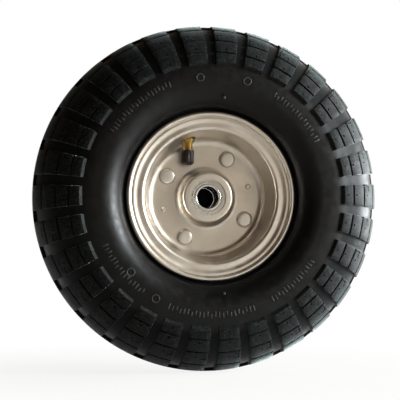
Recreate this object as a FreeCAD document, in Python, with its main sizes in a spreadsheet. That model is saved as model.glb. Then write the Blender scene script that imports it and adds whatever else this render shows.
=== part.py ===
import FreeCAD, Part

import math
import os
import re

import Sketcher

# Pneumatic wheelbarrow wheel: a lugged tyre and inner tube on a riveted two-half pressed rim,
# which runs on two shielded ball bearings round a fixed axle.
# Millimetres. The spin axis is Y, the valve side (front) faces -Y, +Z is up,
# and the origin is the wheel's centre. In a section, "across" is along Y and "out" is the radius.

FRONT, REAR = -1, 1

# Driving sizes: alias, value or formula, and what it is
SIZES = [
    ("tread_round", 45.0, "radius of the tread's arc across the tyre"),
    ("side_share", 1.5, "tyre's height over the rim's lip, as a share of that radius"),
    ("lug_height", 2.8, "lug top above the groove floor"),
    ("lug_count", 31, "lugs on each side of the centre line"),
    ("lug_share", 0.65, "share of a pitch that is lug, the rest is groove"),
    ("lug_phase", 1.2, "angle of the first front lug above +X, degrees"),
    ("crown_kink", 11.5, "angle round the tread's arc where the crown block bends, degrees"),
    ("rib_angle_inner", 30.0, "first slot from the centre line, degrees"),
    ("rib_angle_middle", 49.0, "second slot, degrees"),
    ("rib_angle_outer", 63.5, "third slot, degrees"),
    ("lug_end_angle", 74.0, "outer end of a lug, degrees"),
    ("slot_width", 1.4, "slot between two ribs of a lug"),
    ("slot_depth", 1.9, "slot between two ribs of a lug"),
    ("lug_root", 1.0, "how far a lug's foot is rooted in the carcass"),
    ("parting_flat", 0.3, "flat of the mould line round the crown"),
    ("crown_wall", 6.5, "rubber under the tread"),
    ("side_wall", 4.6, "rubber at the sidewall"),
    ("sidewall_foot_out", 5.5, "where the sidewall turns in to the bead, outside the rim's lip"),
    ("sidewall_foot_share", 0.96, "that turn's radius, as a share of the sidewall's height over the lip"),
    ("bead_fit", 0.1, "clearance of the bead on the rim"),
    ("bead_width", 10.7, "bead's toe from the flange's face"),
    ("bead_heel_round", 3.0, "bead's heel"),
    ("bead_height", 11.0, "bead's inner corner above its seat at the toe"),
    ("bead_lean", 1.5, "that corner outside the toe"),
    ("cavity_foot_out", 8.5, "where the cavity turns in to the bead, outside the rim's lip"),
    ("cavity_foot_share", 0.663, "that turn's radius, as a share of the cavity's depth over the bead"),
    ("cavity_bead_round", 3.0, "bend round the bead's inner corner"),
    ("foot_share", 0.58, "how far the cavity's foot corner moves for each unit of inset"),
    ("bead_share_out", 0.63, "how far its bead corner moves out for each unit of inset"),
    ("bead_share_across", 0.92, "how far its bead corner moves across for each unit of inset"),
    ("crown_corner_ease", 0.1, "crown's bend kept this much under the full half round"),
    ("bead_toe_round", 1.0, "bead's toe"),
    ("lip_clearance", 1.5, "tyre outside the rim's lip"),
    ("lip_tuck", 3.4, "tyre's corner at the lip, behind the lip's face"),
    ("lip_tuck_round", 1.5, "that corner's bend"),
    ("tube_wall", 1.4, "inner tube's rubber"),
    ("tube_fit", 0.3, "clearance round the inner tube"),
    ("tube_corner_round", 1.2, "bend of the inner tube at the bead's toe"),
    ("rim_sheet", 1.6, "pressed sheet of a rim half"),
    ("boss_lip", 3.8, "how far the hub boss turns in over the bearing"),
    ("boss_top_round", 2.2, "outer edge of the hub boss"),
    ("boss_foot_share", 0.209, "sweep from the hub boss to the disc, as a share of the disc's width"),
    ("wall_foot_radius", 44.0, "corner of the disc and the barrel wall"),
    ("wall_foot_share", 0.241, "that corner's bend, as a share of the disc's width"),
    ("seat_rise", 5.2, "barrel wall's outer end outside its foot"),
    ("flange_face", 27.2, "barrel's outer end from the mid-plane"),
    ("ridge_round", 2.4, "bend from the barrel to the flange"),
    ("valley_out", 5.2, "shallow valley in the flange, outside the barrel's end"),
    ("valley_depth", 0.7, "below the ridge"),
    ("valley_round", 4.0, "valley's bend"),
    ("shoulder_width", 1.8, "from the flange's shoulder to the crease at the lip"),
    ("shoulder_rise", 0.3, "shoulder above the ridge"),
    ("shoulder_round", 2.4, "shoulder's bend"),
    ("crease_depth", 0.1, "crease at the lip, below the ridge"),
    ("crease_round", 0.4, "crease's bend"),
    ("lip_out", 8.1, "over the rolled lip, outside the valley"),
    ("lip_width", 3.6, "rolled lip"),
    ("lip_rise", 2.8, "lip's face above the ridge"),
    ("lip_round", 1.75, "lip's bends"),
    ("lip_leg", 2.4, "from the lip's face down to the sheet's edge"),
    ("rivet_share", 0.5783, "circle of rivets outside the hub boss, as a share of the disc's width"),
    ("rivet_angle", 61.3, "first rivet above +X, degrees"),
    ("rivet_count", 4, "rivets"),
    ("rivet_head_share", 0.211, "flat round head's radius, as a share of the disc's width"),
    ("rivet_head_height", 1.9, "flat round head"),
    ("rivet_head_round", 0.8, "head's edge"),
    ("rivet_shank_radius", 3.0, "shank"),
    ("rivet_fit", 0.05, "shank in its hole"),
    ("dowel_angle", 15.7, "locating hole of the front half above +X, degrees"),
    ("dowel_radius", 1.8, "half-sheared locating pip"),
    ("dowel_height", 1.2, "pip's height and its dimple's depth"),
    ("dowel_fit", 0.2, "pip in its hole"),
    ("bearing_bore_radius", 8.0, "runs on a 16 mm axle"),
    ("bearing_radius", 17.5, "outside of the bearing"),
    ("bearing_width", 11.0, "width of the bearing"),
    ("bearing_edge_round", 0.7, "edges of the races"),
    ("ball_share", 0.3132, "ball's radius, as a share of the bearing's section"),
    ("ball_count", 8, "balls in a bearing"),
    ("ball_play", 0.04, "between a ball and its track"),
    ("land_share", 0.1947, "races beside the track, from the circle of the balls, as such a share"),
    ("recess_share", 0.2895, "inner race inside the shield, from that circle"),
    ("seat_share", 0.279, "step in the outer race for the shield, from that circle"),
    ("shield_seat_depth", 1.2, "from the bearing's face"),
    ("shield_sheet", 0.35, "shield's sheet"),
    ("shield_rim", 0.8, "height of the shield's turned-up rim"),
    ("shield_gap", 0.35, "between the shield and the inner race"),
    ("cage_thickness", 1.4, "cage from its inside to its outside"),
    ("cage_web", 2.0, "width of the cage between two balls"),
    ("cage_eye_wall", 0.5, "cage round a ball"),
    ("cage_play", 0.1, "between the cage and a ball"),
    ("cage_eye_share", 0.9, "height of the ring round a ball, as a share of the cage's thickness"),
    ("spacer_length", 2.0, "between the two inner races"),
    ("spacer_wall", 2.4, "outside of the spacer over the races' bore"),
    ("spacer_fit", 0.1, "spacer's bore beyond the races' bore"),
    ("valve_across", 14.7, "valve's axis to the left of the spin axis"),
    ("valve_forward", 8.8, "valve's axis in front of the mid-plane"),
    ("valve_hole_radius", 5.8, "hole in the rim for the valve"),
    ("valve_base_radius", 6.6, "rubber base on the inner tube"),
    ("valve_base_height", 4.5, "flat top of the rubber base over the tube"),
    ("valve_fit", 0.1, "between the valve's fixed pieces"),
    ("cut_margin", 1.0, "how far a cutting round runs past what it cuts"),
    ("stem_radius", 3.85, "valve stem over its thread"),
    ("stem_share", 0.5295, "stem's length below its foot, as a share of the barrel's radius"),
    ("stem_foot_radius", 5.6, "flange at the stem's foot"),
    ("stem_foot_thickness", 1.2, "flange at the stem's foot"),
    ("stem_edge_round", 0.5, "edge at the stem's open end"),
    ("stem_foot_round", 0.4, "edge of the stem's foot"),
    ("stem_bore_radius", 1.9, "air way in the stem"),
    ("core_bore_radius", 2.55, "threaded bore for the valve core"),
    ("core_bore_depth", 6.0, "threaded bore for the valve core"),
    ("core_cone", 1.0, "cone that the core's seal sits on"),
    ("nut_flats", 9.0, "valve nut across its flats"),
    ("nut_height", 3.0, "valve nut"),
    ("nut_drop", 9.8, "nut's lower face below the rubber base's top"),
    ("core_sink", 0.6, "core below the stem's open end"),
    ("core_plug_length", 2.8, "core's threaded plug"),
    ("core_barrel_radius", 1.45, "core's barrel"),
    ("core_length", 9.5, "core without its pin"),
    ("core_air_radius", 0.8, "air way through the core"),
    ("chamber_radius", 1.15, "spring chamber in the core"),
    ("chamber_start", 5.6, "spring chamber from the core's plug end"),
    ("core_lip", 0.8, "end wall of the core, the seat of the cup"),
    ("seal_length", 1.0, "core's seal ring"),
    ("pin_radius", 0.42, "valve pin"),
    ("pin_head_radius", 0.7, "valve pin's head"),
    ("pin_sink", 0.1, "pin's head below the stem's open end"),
    ("pin_head_foot", 0.4, "head's foot below the core's plug end"),
    ("pin_tail", 0.3, "pin beyond the cup"),
    ("pin_collar_radius", 1.0, "collar that the spring pushes"),
    ("pin_collar_thickness", 0.4, "collar that the spring pushes"),
    ("pin_travel", 1.2, "how far the pin is pressed"),
    ("cup_radius", 1.3, "rubber cup on the pin"),
    ("cup_thickness", 1.3, "rubber cup on the pin"),
    ("cup_taper", 0.3, "cup's radius smaller at its far end"),
    ("core_fit", 0.05, "between the core's pieces"),
    ("wire_radius", 0.1, "valve spring's wire"),
    ("coil_radius", 0.8, "valve spring's mean radius"),
    ("coil_turns", 4, "valve spring's turns"),
    ("coil_runs", 10, "straight runs in a turn"),
    ("cap_radius", 4.75, "valve cap"),
    ("cap_length", 11.0, "valve cap"),
    ("cap_floor", 2.4, "closed end of the cap"),
    ("cap_fit", 0.09, "cap on the stem's thread"),
    ("cap_round", 2.4, "cap's closed end"),
    ("cap_seal_thickness", 1.1, "rubber disc in the cap"),
    ("cap_seal_gap", 0.1, "each side of the rubber disc"),
    ("flute_count", 18, "grip flutes on the cap"),
    ("flute_radius", 0.5, "grip flute"),
    ("flute_depth", 0.3, "grip flute"),
    ("flute_foot", 3.0, "grip flute from the cap's closed end"),
    ("seat_top_radius", "=wall_foot_radius + seat_rise", "outer end of the barrel wall"),
    ("valley_radius", "=seat_top_radius + valley_out", "shallow valley in the flange"),
    ("lip_radius", "=valley_radius + lip_out", "over the rolled lip"),
    ("lip_inner", "=lip_radius - lip_width", "radius of the crease at the lip"),
    ("lip_face", "=flange_face + lip_rise", "from the mid-plane"),
    ("tyre_radius", "=lip_radius + side_share * tread_round", "over the lugs"),
    ("shoulder_centre", "=tyre_radius - tread_round", "radius of the tread arc's centre"),
    ("carcass_round", "=tread_round - lug_height", "groove floor's arc across the tyre"),
    ("lug_angle", "=360 / lug_count * lug_share", "length of a lug, degrees"),
    ("slot_half_angle", "=slot_width / 2 / tread_round * 180 / pi", "degrees"),
    ("sidewall_foot", "=lip_radius + sidewall_foot_out", "radius where the sidewall turns in"),
    ("sidewall_foot_round", "=sidewall_foot_share * (carcass_round - lip_face + lip_tuck)", ""),
    ("bead_toe", "=flange_face - bead_width", "from the mid-plane"),
    ("cavity_foot", "=lip_radius + cavity_foot_out", "radius where the cavity turns in"),
    ("cavity_foot_round", "=cavity_foot_share * (carcass_round - side_wall - bead_toe - bead_lean)", ""),
    ("bead_side", "=flange_face - valley_depth - rim_sheet - bead_fit", "bead's side from the mid-plane"),
    ("crease_side", "=flange_face - crease_depth - rim_sheet - bead_fit", "tyre behind the crease"),
    ("disc_width", "=wall_foot_radius - bearing_radius - rim_sheet", "from the hub boss to the barrel wall"),
    ("boss_foot_round", "=boss_foot_share * disc_width", "sweep from the hub boss to the disc"),
    ("wall_foot_round", "=wall_foot_share * disc_width", "bend from the disc to the barrel wall"),
    ("rivet_circle", "=bearing_radius + rim_sheet + rivet_share * disc_width", "circle of rivets"),
    ("rivet_head_radius", "=rivet_head_share * disc_width", "flat round head"),
    ("boss_hole_radius", "=bearing_radius - boss_lip", "hole in the hub boss, over the bearing"),
    ("bearing_centre", "=(spacer_length + bearing_width) / 2", "from the mid-plane"),
    ("bearing_face", "=spacer_length / 2 + bearing_width", "from the mid-plane"),
    ("pitch_radius", "=(bearing_bore_radius + bearing_radius) / 2", "circle of the balls"),
    ("bearing_section", "=bearing_radius - bearing_bore_radius", "from the bore to the outside"),
    ("ball_radius", "=ball_share * bearing_section", "ball"),
    ("track_radius", "=ball_radius + ball_play", "races' track across"),
    ("inner_land_radius", "=pitch_radius - land_share * bearing_section", "inner race beside the track"),
    ("inner_recess_radius", "=pitch_radius - recess_share * bearing_section", "inside the shield"),
    ("outer_land_radius", "=pitch_radius + land_share * bearing_section", "outer race beside the track"),
    ("shield_seat_radius", "=pitch_radius + seat_share * bearing_section", "step for the shield"),
    ("spacer_radius", "=bearing_bore_radius + spacer_wall", "outside of the spacer"),
    ("seat_slope", "=(seat_top_radius - wall_foot_radius) / (flange_face - rim_sheet)", "barrel wall"),
    ("seat_skin", "=rim_sheet * sqrt(1 + seat_slope ^ 2)", "barrel's sheet, measured outwards"),
    ("tube_floor", "=wall_foot_radius + seat_slope * (bead_toe - rim_sheet) + seat_skin + tube_fit", ""),
    ("valve_base_top", "=sqrt(tube_floor ^ 2 - valve_across ^ 2) + valve_base_height", "rubber base's top"),
    ("stem_tip", "=valve_base_top - stem_share * wall_foot_radius", "stem's open end"),
    ("nut_foot", "=valve_base_top - nut_drop", "nut's lower face above the wheel's centre"),
    ("core_face", "=stem_tip + core_sink", "core's plug end above the wheel's centre"),
    ("core_end", "=core_face + core_length", "core's seat above the wheel's centre"),
    ("spring_end", "=core_end - core_lip - core_fit - wire_radius", "spring's fixed end"),
    ("spring_start", "=core_face + chamber_start + pin_collar_thickness + core_fit + wire_radius", ""),
    ("cap_end", "=stem_tip - cap_seal_thickness - 2 * cap_seal_gap - cap_floor", "cap's closed end"),
    ("flute_length", "=cap_length - flute_foot", "grip flute"),
]
ALIASES = {alias for alias, _, _ in SIZES}

doc = FreeCAD.newDocument("WheelbarrowWheel")
sheet = doc.addObject("Spreadsheet::Sheet", "Sizes")
for row, (alias, size, note) in enumerate(SIZES, start=1):
    sheet.set(f"A{row}", alias)
    sheet.set(f"B{row}", str(size))
    sheet.set(f"C{row}", note)
    sheet.setAlias(f"B{row}", alias)
doc.recompute()


def tie(text):
    """An expression over the sheet, from a text that names its aliases."""
    return re.sub(r"[a-z_]+", lambda word: "Sizes." + word[0] if word[0] in ALIASES else word[0], str(text))


def size_of(text):
    """The present value of such a text."""
    return float(sheet.evalExpression(tie(text)))


def bind(thing, **properties):
    """Tie properties of an object to the sheet; Base_x stands for Placement.Base.x."""
    for name, text in properties.items():
        path = "Placement." + name.replace("_", ".") if name.startswith("Base_") else name
        thing.setExpression(path, tie(text))


def new_body(label):
    """An empty body for one sub-part."""
    return doc.addObject("PartDesign::Body", label)


def origin_part(body, role):
    return next(part for part in body.Origin.OriginFeatures if part.Role == role)


def new_sketch(body, name, role="XY_Plane"):
    """A sketch on one of the body's origin planes."""
    sketch = body.newObject("Sketcher::SketchObject", name)
    sketch.AttachmentSupport = (origin_part(body, role), "")
    sketch.MapMode = "FlatFace"
    return sketch


def outline(sketch, corners, closed=True):
    """Draw straight runs between corners, (x, y) or (x, y, bend radius), each tied to the sheet."""
    points = [FreeCAD.Vector(size_of(corner[0]), size_of(corner[1]), 0) for corner in corners]
    count = len(points)
    enters, leaves, arcs = [], [], {}
    for index, corner in enumerate(corners):
        point = points[index]
        enter = leave = point
        if len(corner) > 2:
            back = (points[index - 1] - point).normalize()
            ahead = (points[(index + 1) % count] - point).normalize()
            radius = size_of(corner[2])
            half_turn = back.getAngle(ahead) / 2
            run = radius / math.tan(half_turn)
            enter, leave = point + back * run, point + ahead * run
            centre = point + (back + ahead).normalize() * (radius / math.sin(half_turn))
            turns_left = back.cross(ahead).z < 0
            first, last = (enter, leave) if turns_left else (leave, enter)
            angles = [math.atan2(end.y - centre.y, end.x - centre.x) for end in (first, last)]
            circle = Part.Circle(centre, FreeCAD.Vector(0, 0, 1), radius)
            arcs[index] = (Part.ArcOfCircle(circle, *angles), turns_left)
        enters.append(enter)
        leaves.append(leave)
    line_count = count if closed else count - 1
    lines = [
        sketch.addGeometry(Part.LineSegment(leaves[index], enters[(index + 1) % count]), False)
        for index in range(line_count)
    ]
    rules, ties = [], []

    def place(element, end, corner):
        for kind, text in (("DistanceX", corner[0]), ("DistanceY", corner[1])):
            ties.append((len(rules), text))
            rules.append(Sketcher.Constraint(kind, -1, 1, element, end, size_of(text)))

    for index, corner in enumerate(corners):
        line_in = lines[index - 1] if closed or index > 0 else None
        line_out = lines[index] if index < line_count else None
        if index in arcs:
            shape, turns_left = arcs[index]
            arc = sketch.addGeometry(shape, False)
            knee = sketch.addGeometry(Part.Point(points[index]), True)
            start, finish = (1, 2) if turns_left else (2, 1)
            rules.append(Sketcher.Constraint("Tangent", line_in, 2, arc, start))
            rules.append(Sketcher.Constraint("Tangent", arc, finish, line_out, 1))
            rules.append(Sketcher.Constraint("PointOnObject", knee, 1, line_in))
            rules.append(Sketcher.Constraint("PointOnObject", knee, 1, line_out))
            ties.append((len(rules), corner[2]))
            rules.append(Sketcher.Constraint("Radius", arc, size_of(corner[2])))
            place(knee, 1, corner)
        elif line_in is None:
            place(line_out, 1, corner)
        else:
            if line_out is not None:
                rules.append(Sketcher.Constraint("Coincident", line_in, 2, line_out, 1))
            place(line_in, 2, corner)
    sketch.addConstraint(rules)
    for rule, text in ties:
        sketch.setExpression(f"Constraints[{rule}]", tie(text))


def ring(sketch, radius, x="0", y="0"):
    """Draw a circle tied to the sheet."""
    centre = FreeCAD.Vector(size_of(x), size_of(y), 0)
    circle = sketch.addGeometry(Part.Circle(centre, FreeCAD.Vector(0, 0, 1), size_of(radius)), False)
    rules = [
        Sketcher.Constraint("DistanceX", -1, 1, circle, 3, centre.x),
        Sketcher.Constraint("DistanceY", -1, 1, circle, 3, centre.y),
        Sketcher.Constraint("Radius", circle, size_of(radius)),
    ]
    first = sketch.ConstraintCount
    sketch.addConstraint(rules)
    for rule, text in enumerate((x, y, radius), start=first):
        sketch.setExpression(f"Constraints[{rule}]", tie(text))


def feature(body, kind, name, sketch, **properties):
    """A sketch-based feature with plain properties; sizes are bound afterwards."""
    made = body.newObject("PartDesign::" + kind, name)
    made.Profile = sketch
    if kind in ("Revolution", "Groove"):
        made.ReferenceAxis = (sketch, ["V_Axis"])
        made.Angle = 360
    for key, setting in properties.items():
        setattr(made, key, setting)
    return made


def turned(label, corners, role="XY_Plane"):
    """A body turned from one section about the sketch's upright axis."""
    body = new_body(label)
    sketch = new_sketch(body, label + "_section", role)
    outline(sketch, corners)
    feature(body, "Revolution", label + "_turned", sketch)
    return body


def polar(body, name, originals, axis, count):
    """A full-circle pattern, made the body's tip."""
    pattern = body.newObject("PartDesign::PolarPattern", name)
    pattern.Originals = originals
    pattern.Axis = (origin_part(body, axis), [""])
    pattern.Angle = 360
    bind(pattern, Occurrences=count)
    body.Tip = pattern
    return pattern


# Tyre
def on_tread(reach, angle, side):
    """A point of the tread's section, by its reach and angle about the tread arc's centre."""
    return (f"shoulder_centre + ({reach}) * cos({angle})", f"{side} * ({reach}) * sin({angle})")


def lug(body, side):
    """One lug from the centre line to the shoulder, in ribs parted by slots."""
    name = "front_lug" if side == FRONT else "rear_lug"
    top, floor = "tread_round", "tread_round - slot_depth"
    foot = "tread_round - lug_height - lug_root"
    section = [on_tread(top, "0", side), on_tread(top, "crown_kink", side)]
    for slot in ("rib_angle_inner", "rib_angle_middle", "rib_angle_outer"):
        before, after = f"{slot} - slot_half_angle", f"{slot} + slot_half_angle"
        section += [on_tread(reach, before, side) for reach in (top, floor)]
        section += [on_tread(reach, after, side) for reach in (floor, top)]
    section += [on_tread(top, "lug_end_angle", side), on_tread(foot, "lug_end_angle", side)]
    for angle in ("rib_angle_outer", "rib_angle_middle", "rib_angle_inner", "crown_kink", "0"):
        section.append(on_tread(foot, angle, side))
    sketch = new_sketch(body, name + "_section")
    outline(sketch, section)
    phase = "lug_phase" if side == FRONT else "lug_phase + 180 / lug_count"
    turn = FreeCAD.Rotation(FreeCAD.Vector(0, -1, 0), size_of(phase))
    sketch.AttachmentOffset = FreeCAD.Placement(FreeCAD.Vector(), turn)
    sketch.setExpression("AttachmentOffset.Rotation.Angle", tie(phase))
    block = feature(body, "Revolution", name, sketch, Midplane=True)
    bind(block, Angle="lug_angle")
    return polar(body, name + "s", [block], "Y_Axis", "lug_count")


def mirrored(corners):
    """A half section and its mirror image across the mid-plane, as one outline."""
    return corners + [(corner[0], f"-({corner[1]})", *corner[2:]) for corner in reversed(corners)]


def bead_seat(across):
    """The rim's seat at a distance from the mid-plane, as the tyre meets it."""
    return f"wall_foot_radius + seat_slope * ({across} - rim_sheet) + seat_skin + bead_fit"


def cavity(inset):
    """The tyre's inside from the crown to the bead, drawn in by an inset, for the tyre and the tube."""
    side = f"carcass_round - side_wall - ({inset})"
    return [
        (f"tyre_radius - lug_height - crown_wall - ({inset})", side,
         f"carcass_round - crown_wall - crown_corner_ease - ({inset})"),
        (f"cavity_foot + foot_share * ({inset})", side, f"cavity_foot_round - ({inset})"),
        (f"{bead_seat('bead_toe')} + bead_height + bead_share_out * ({inset})",
         f"bead_toe + bead_lean - bead_share_across * ({inset})", f"cavity_bead_round + ({inset})"),
    ]


def make_tyre():
    """The carcass with its beads, and a ring of lugs on each side."""
    body = new_body("tyre")
    sketch = new_sketch(body, "tyre_section")
    outline(sketch, mirrored(cavity("0") + [
        (bead_seat("bead_toe"), "bead_toe", "bead_toe_round"),
        (bead_seat("bead_side"), "bead_side", "bead_heel_round"),
        ("valley_radius", "bead_side"),
        ("lip_inner", "crease_side"),
        ("lip_radius + lip_clearance", "lip_face - lip_tuck", "lip_tuck_round"),
        ("sidewall_foot", "carcass_round", "sidewall_foot_round"),
        ("tyre_radius - lug_height", "carcass_round", "carcass_round - parting_flat / 2"),
    ]))
    feature(body, "Revolution", "carcass", sketch)
    for face in (FRONT, REAR):
        lug(body, face)
    return body


# Rim
def make_rim_half(side):
    """A pressed half: hub boss, disc, barrel wall, flange and rolled lip in one sheet."""
    label = "rim_half_front" if side == FRONT else "rim_half_rear"
    path = [
        ("boss_hole_radius", "bearing_face + rim_sheet"),
        ("bearing_radius + rim_sheet", "bearing_face + rim_sheet", "boss_top_round"),
        ("bearing_radius + rim_sheet", "rim_sheet", "boss_foot_round"),
        ("wall_foot_radius", "rim_sheet", "wall_foot_round"),
        ("seat_top_radius", "flange_face", "ridge_round"),
        ("valley_radius", "flange_face - valley_depth", "valley_round"),
        ("lip_inner - shoulder_width", "flange_face + shoulder_rise", "shoulder_round"),
        ("lip_inner", "flange_face - crease_depth", "crease_round"),
        ("lip_inner", "lip_face", "lip_round"),
        ("lip_radius", "lip_face", "lip_round"),
        ("lip_radius", "lip_face - lip_leg"),
    ]
    face = doc.addObject("Sketcher::SketchObject", label + "_path")
    outline(face, [(corner[0], f"{side} * ({corner[1]})", *corner[2:]) for corner in path], closed=False)
    strip = doc.addObject("Part::Offset2D", label + "_strip")
    strip.Source = face
    strip.Mode = "Skin"
    strip.Fill = True
    bind(strip, Value=f"{side} * rim_sheet")
    sheet_metal = doc.addObject("Part::Revolution", label + "_sheet")
    sheet_metal.Source = strip
    sheet_metal.Axis = FreeCAD.Vector(0, 1, 0)
    sheet_metal.Angle = 360
    sheet_metal.Solid = True
    doc.recompute()

    body = new_body(label)
    body.BaseFeature = sheet_metal

    holes = new_sketch(body, label + "_rivet_hole", "XZ_Plane")
    ring(holes, "rivet_shank_radius + rivet_fit",
         "rivet_circle * cos(rivet_angle)", "rivet_circle * sin(rivet_angle)")
    punched = feature(body, "Pocket", label + "_punched", holes, Type="ThroughAll", SideType="Symmetric")
    polar(body, label + "_rivet_holes", [punched], "Y_Axis", "rivet_count")

    # One half's hole takes the other half's pip, half a turn apart
    hole_turn = "dowel_angle" if side == FRONT else "dowel_angle + 180"
    pip_turn = "dowel_angle + 180" if side == FRONT else "dowel_angle"
    dowel = new_sketch(body, label + "_dowel_hole", "XZ_Plane")
    ring(dowel, "dowel_radius + dowel_fit",
         f"rivet_circle * cos({hole_turn})", f"rivet_circle * sin({hole_turn})")
    feature(body, "Pocket", label + "_dowel_punched", dowel, Type="ThroughAll", SideType="Symmetric")
    for kind, start, name in (("Pad", "0", "pip"), ("Pocket", "rim_sheet", "dimple")):
        spot = new_sketch(body, f"{label}_{name}_spot", "XZ_Plane")
        spot.AttachmentOffset = FreeCAD.Placement(FreeCAD.Vector(0, 0, 1), FreeCAD.Rotation())
        spot.setExpression("AttachmentOffset.Base.z", tie(f"{-side} * {start}"))
        ring(spot, "dowel_radius", f"rivet_circle * cos({pip_turn})", f"rivet_circle * sin({pip_turn})")
        pressed = feature(body, kind, f"{label}_{name}", spot, Reversed=(side == FRONT) == (kind == "Pad"))
        bind(pressed, Length="dowel_height")

    if side == FRONT:
        way = new_sketch(body, "valve_way", "XY_Plane")
        way.AttachmentOffset = FreeCAD.Placement(FreeCAD.Vector(0, 0, 1), FreeCAD.Rotation())
        way.setExpression("AttachmentOffset.Base.z", tie("stem_tip"))
        ring(way, "valve_hole_radius", "-valve_across", "-valve_forward")
        cut = feature(body, "Pocket", "valve_hole", way, Reversed=True)
        bind(cut, Length="lip_radius - stem_tip")
    return body


def make_rivets():
    """Solid rivets, headed on both sides of the two discs."""
    rivets = []
    for number in range(int(size_of("rivet_count"))):
        face = "rim_sheet + rivet_head_height"
        rivet = turned(f"rivet_{number + 1}", [
            ("0", f"-({face})"),
            ("rivet_head_radius", f"-({face})", "rivet_head_round"),
            ("rivet_head_radius", "-rim_sheet"),
            ("rivet_shank_radius", "-rim_sheet"),
            ("rivet_shank_radius", "rim_sheet"),
            ("rivet_head_radius", "rim_sheet"),
            ("rivet_head_radius", face, "rivet_head_round"),
            ("0", face),
        ])
        turn = f"rivet_angle + {number} * 360 / rivet_count"
        bind(rivet, Base_x=f"rivet_circle * cos({turn})", Base_z=f"rivet_circle * sin({turn})")
        rivets.append(rivet)
    return rivets


# Bearings, each built about its own centre and then moved to its side
def make_bearing(side):
    label = "bearing_front_" if side == FRONT else "bearing_rear_"
    half, step = "bearing_width / 2", "shield_seat_depth"

    inner = turned(label + "inner_race", mirrored([
        ("inner_land_radius", f"{half} - {step}"),
        ("inner_recess_radius", f"{half} - {step}"),
        ("inner_recess_radius", half, "bearing_edge_round / 2"),
        ("bearing_bore_radius", half, "bearing_edge_round"),
    ]))
    outer = turned(label + "outer_race", mirrored([
        ("outer_land_radius", f"{half} - {step}"),
        ("shield_seat_radius", f"{half} - {step}"),
        ("shield_seat_radius", half),
        ("bearing_radius", half, "bearing_edge_round"),
    ]))
    for race in (inner, outer):
        track = new_sketch(race, race.Label + "_track_section")
        ring(track, "track_radius", "pitch_radius", "0")
        feature(race, "Groove", race.Label + "_track", track)
    pieces = [inner, outer]

    for name, face in (("outer_shield", side), ("inner_shield", -side)):
        plate, rim = f"{half} - {step}", "inner_recess_radius + shield_gap"
        pieces.append(turned(label + name, [
            (rim, f"{face} * ({plate})"),
            ("shield_seat_radius", f"{face} * ({plate})"),
            ("shield_seat_radius", f"{face} * ({plate} + shield_rim)"),
            ("shield_seat_radius - shield_sheet", f"{face} * ({plate} + shield_rim)"),
            ("shield_seat_radius - shield_sheet", f"{face} * ({plate} + shield_sheet)"),
            (rim, f"{face} * ({plate} + shield_sheet)"),
        ]))

    cage = new_body(label + "cage")
    eye_radius = "ball_radius + cage_play"
    inside, outside = "pitch_radius - cage_thickness / 2", "pitch_radius + cage_thickness / 2"
    web = new_sketch(cage, cage.Label + "_web_section")
    outline(web, [(inside, "-cage_web / 2"), (outside, "-cage_web / 2"),
                  (outside, "cage_web / 2"), (inside, "cage_web / 2")])
    feature(cage, "Revolution", cage.Label + "_web", web)
    steps = []
    for kind, radius in (("Pad", f"{eye_radius} + cage_eye_wall"), ("Pocket", eye_radius)):
        spot = new_sketch(cage, f"{cage.Label}_{kind.lower()}_spot", "YZ_Plane")
        spot.AttachmentOffset = FreeCAD.Placement(FreeCAD.Vector(0, 0, 1), FreeCAD.Rotation())
        spot.setExpression("AttachmentOffset.Base.z", tie("pitch_radius"))
        ring(spot, radius)
        eye = feature(cage, kind, f"{cage.Label}_{kind.lower()}", spot, SideType="Symmetric")
        length = "cage_thickness * cage_eye_share" if kind == "Pad" else "cage_thickness + cut_margin"
        bind(eye, Length=length)
        steps.append(eye)
    polar(cage, cage.Label + "_eyes", steps, "Y_Axis", "ball_count")
    pieces.append(cage)

    balls = []
    for number in range(int(size_of("ball_count"))):
        ball = doc.addObject("Part::Sphere", f"{label}ball_{number + 1}")
        bind(ball, Radius="ball_radius",
             Base_x=f"pitch_radius * cos({number} * 360 / ball_count)",
             Base_z=f"pitch_radius * sin({number} * 360 / ball_count)")
        balls.append(ball)
    balls_group = doc.addObject("Part::Compound", label + "balls")
    balls_group.Links = balls
    pieces.append(balls_group)

    for piece in pieces:
        bind(piece, Base_y=f"{side} * bearing_centre")
    return pieces


def make_spacer():
    """Ring that keeps the two inner races apart on the axle."""
    return turned("bearing_spacer", mirrored([
        ("bearing_bore_radius + spacer_fit", "spacer_length / 2"),
        ("spacer_radius", "spacer_length / 2"),
    ]))


# Inner tube and valve
def make_tube():
    """Thin-walled ring that fills the tyre, with an opening for the valve's base."""
    shells = []
    for name, wall in (("tube_outside", "0"), ("tube_inside", "tube_wall")):
        inset = f"tube_fit + {wall}"
        floor = (f"tube_floor + {wall}", f"bead_toe - ({inset})", "tube_corner_round")
        shells.append(turned(name, mirrored(cavity(inset) + [floor])))
    skin = doc.addObject("Part::Cut", "tube_skin")
    skin.Base, skin.Tool = shells
    opening = valve_cylinder("tube_opening", "valve_base_radius + valve_fit", "valve_base_top + valve_fit")
    tube = doc.addObject("Part::Cut", "inner_tube")
    tube.Base, tube.Tool = skin, opening
    return tube


def valve_cylinder(name, radius, top):
    """An upright cylinder on the valve's axis, from the wheel's centre height up."""
    cylinder = doc.addObject("Part::Cylinder", name)
    bind(cylinder, Radius=radius, Height=top, Base_x="-valve_across", Base_y="-valve_forward")
    return cylinder


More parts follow.
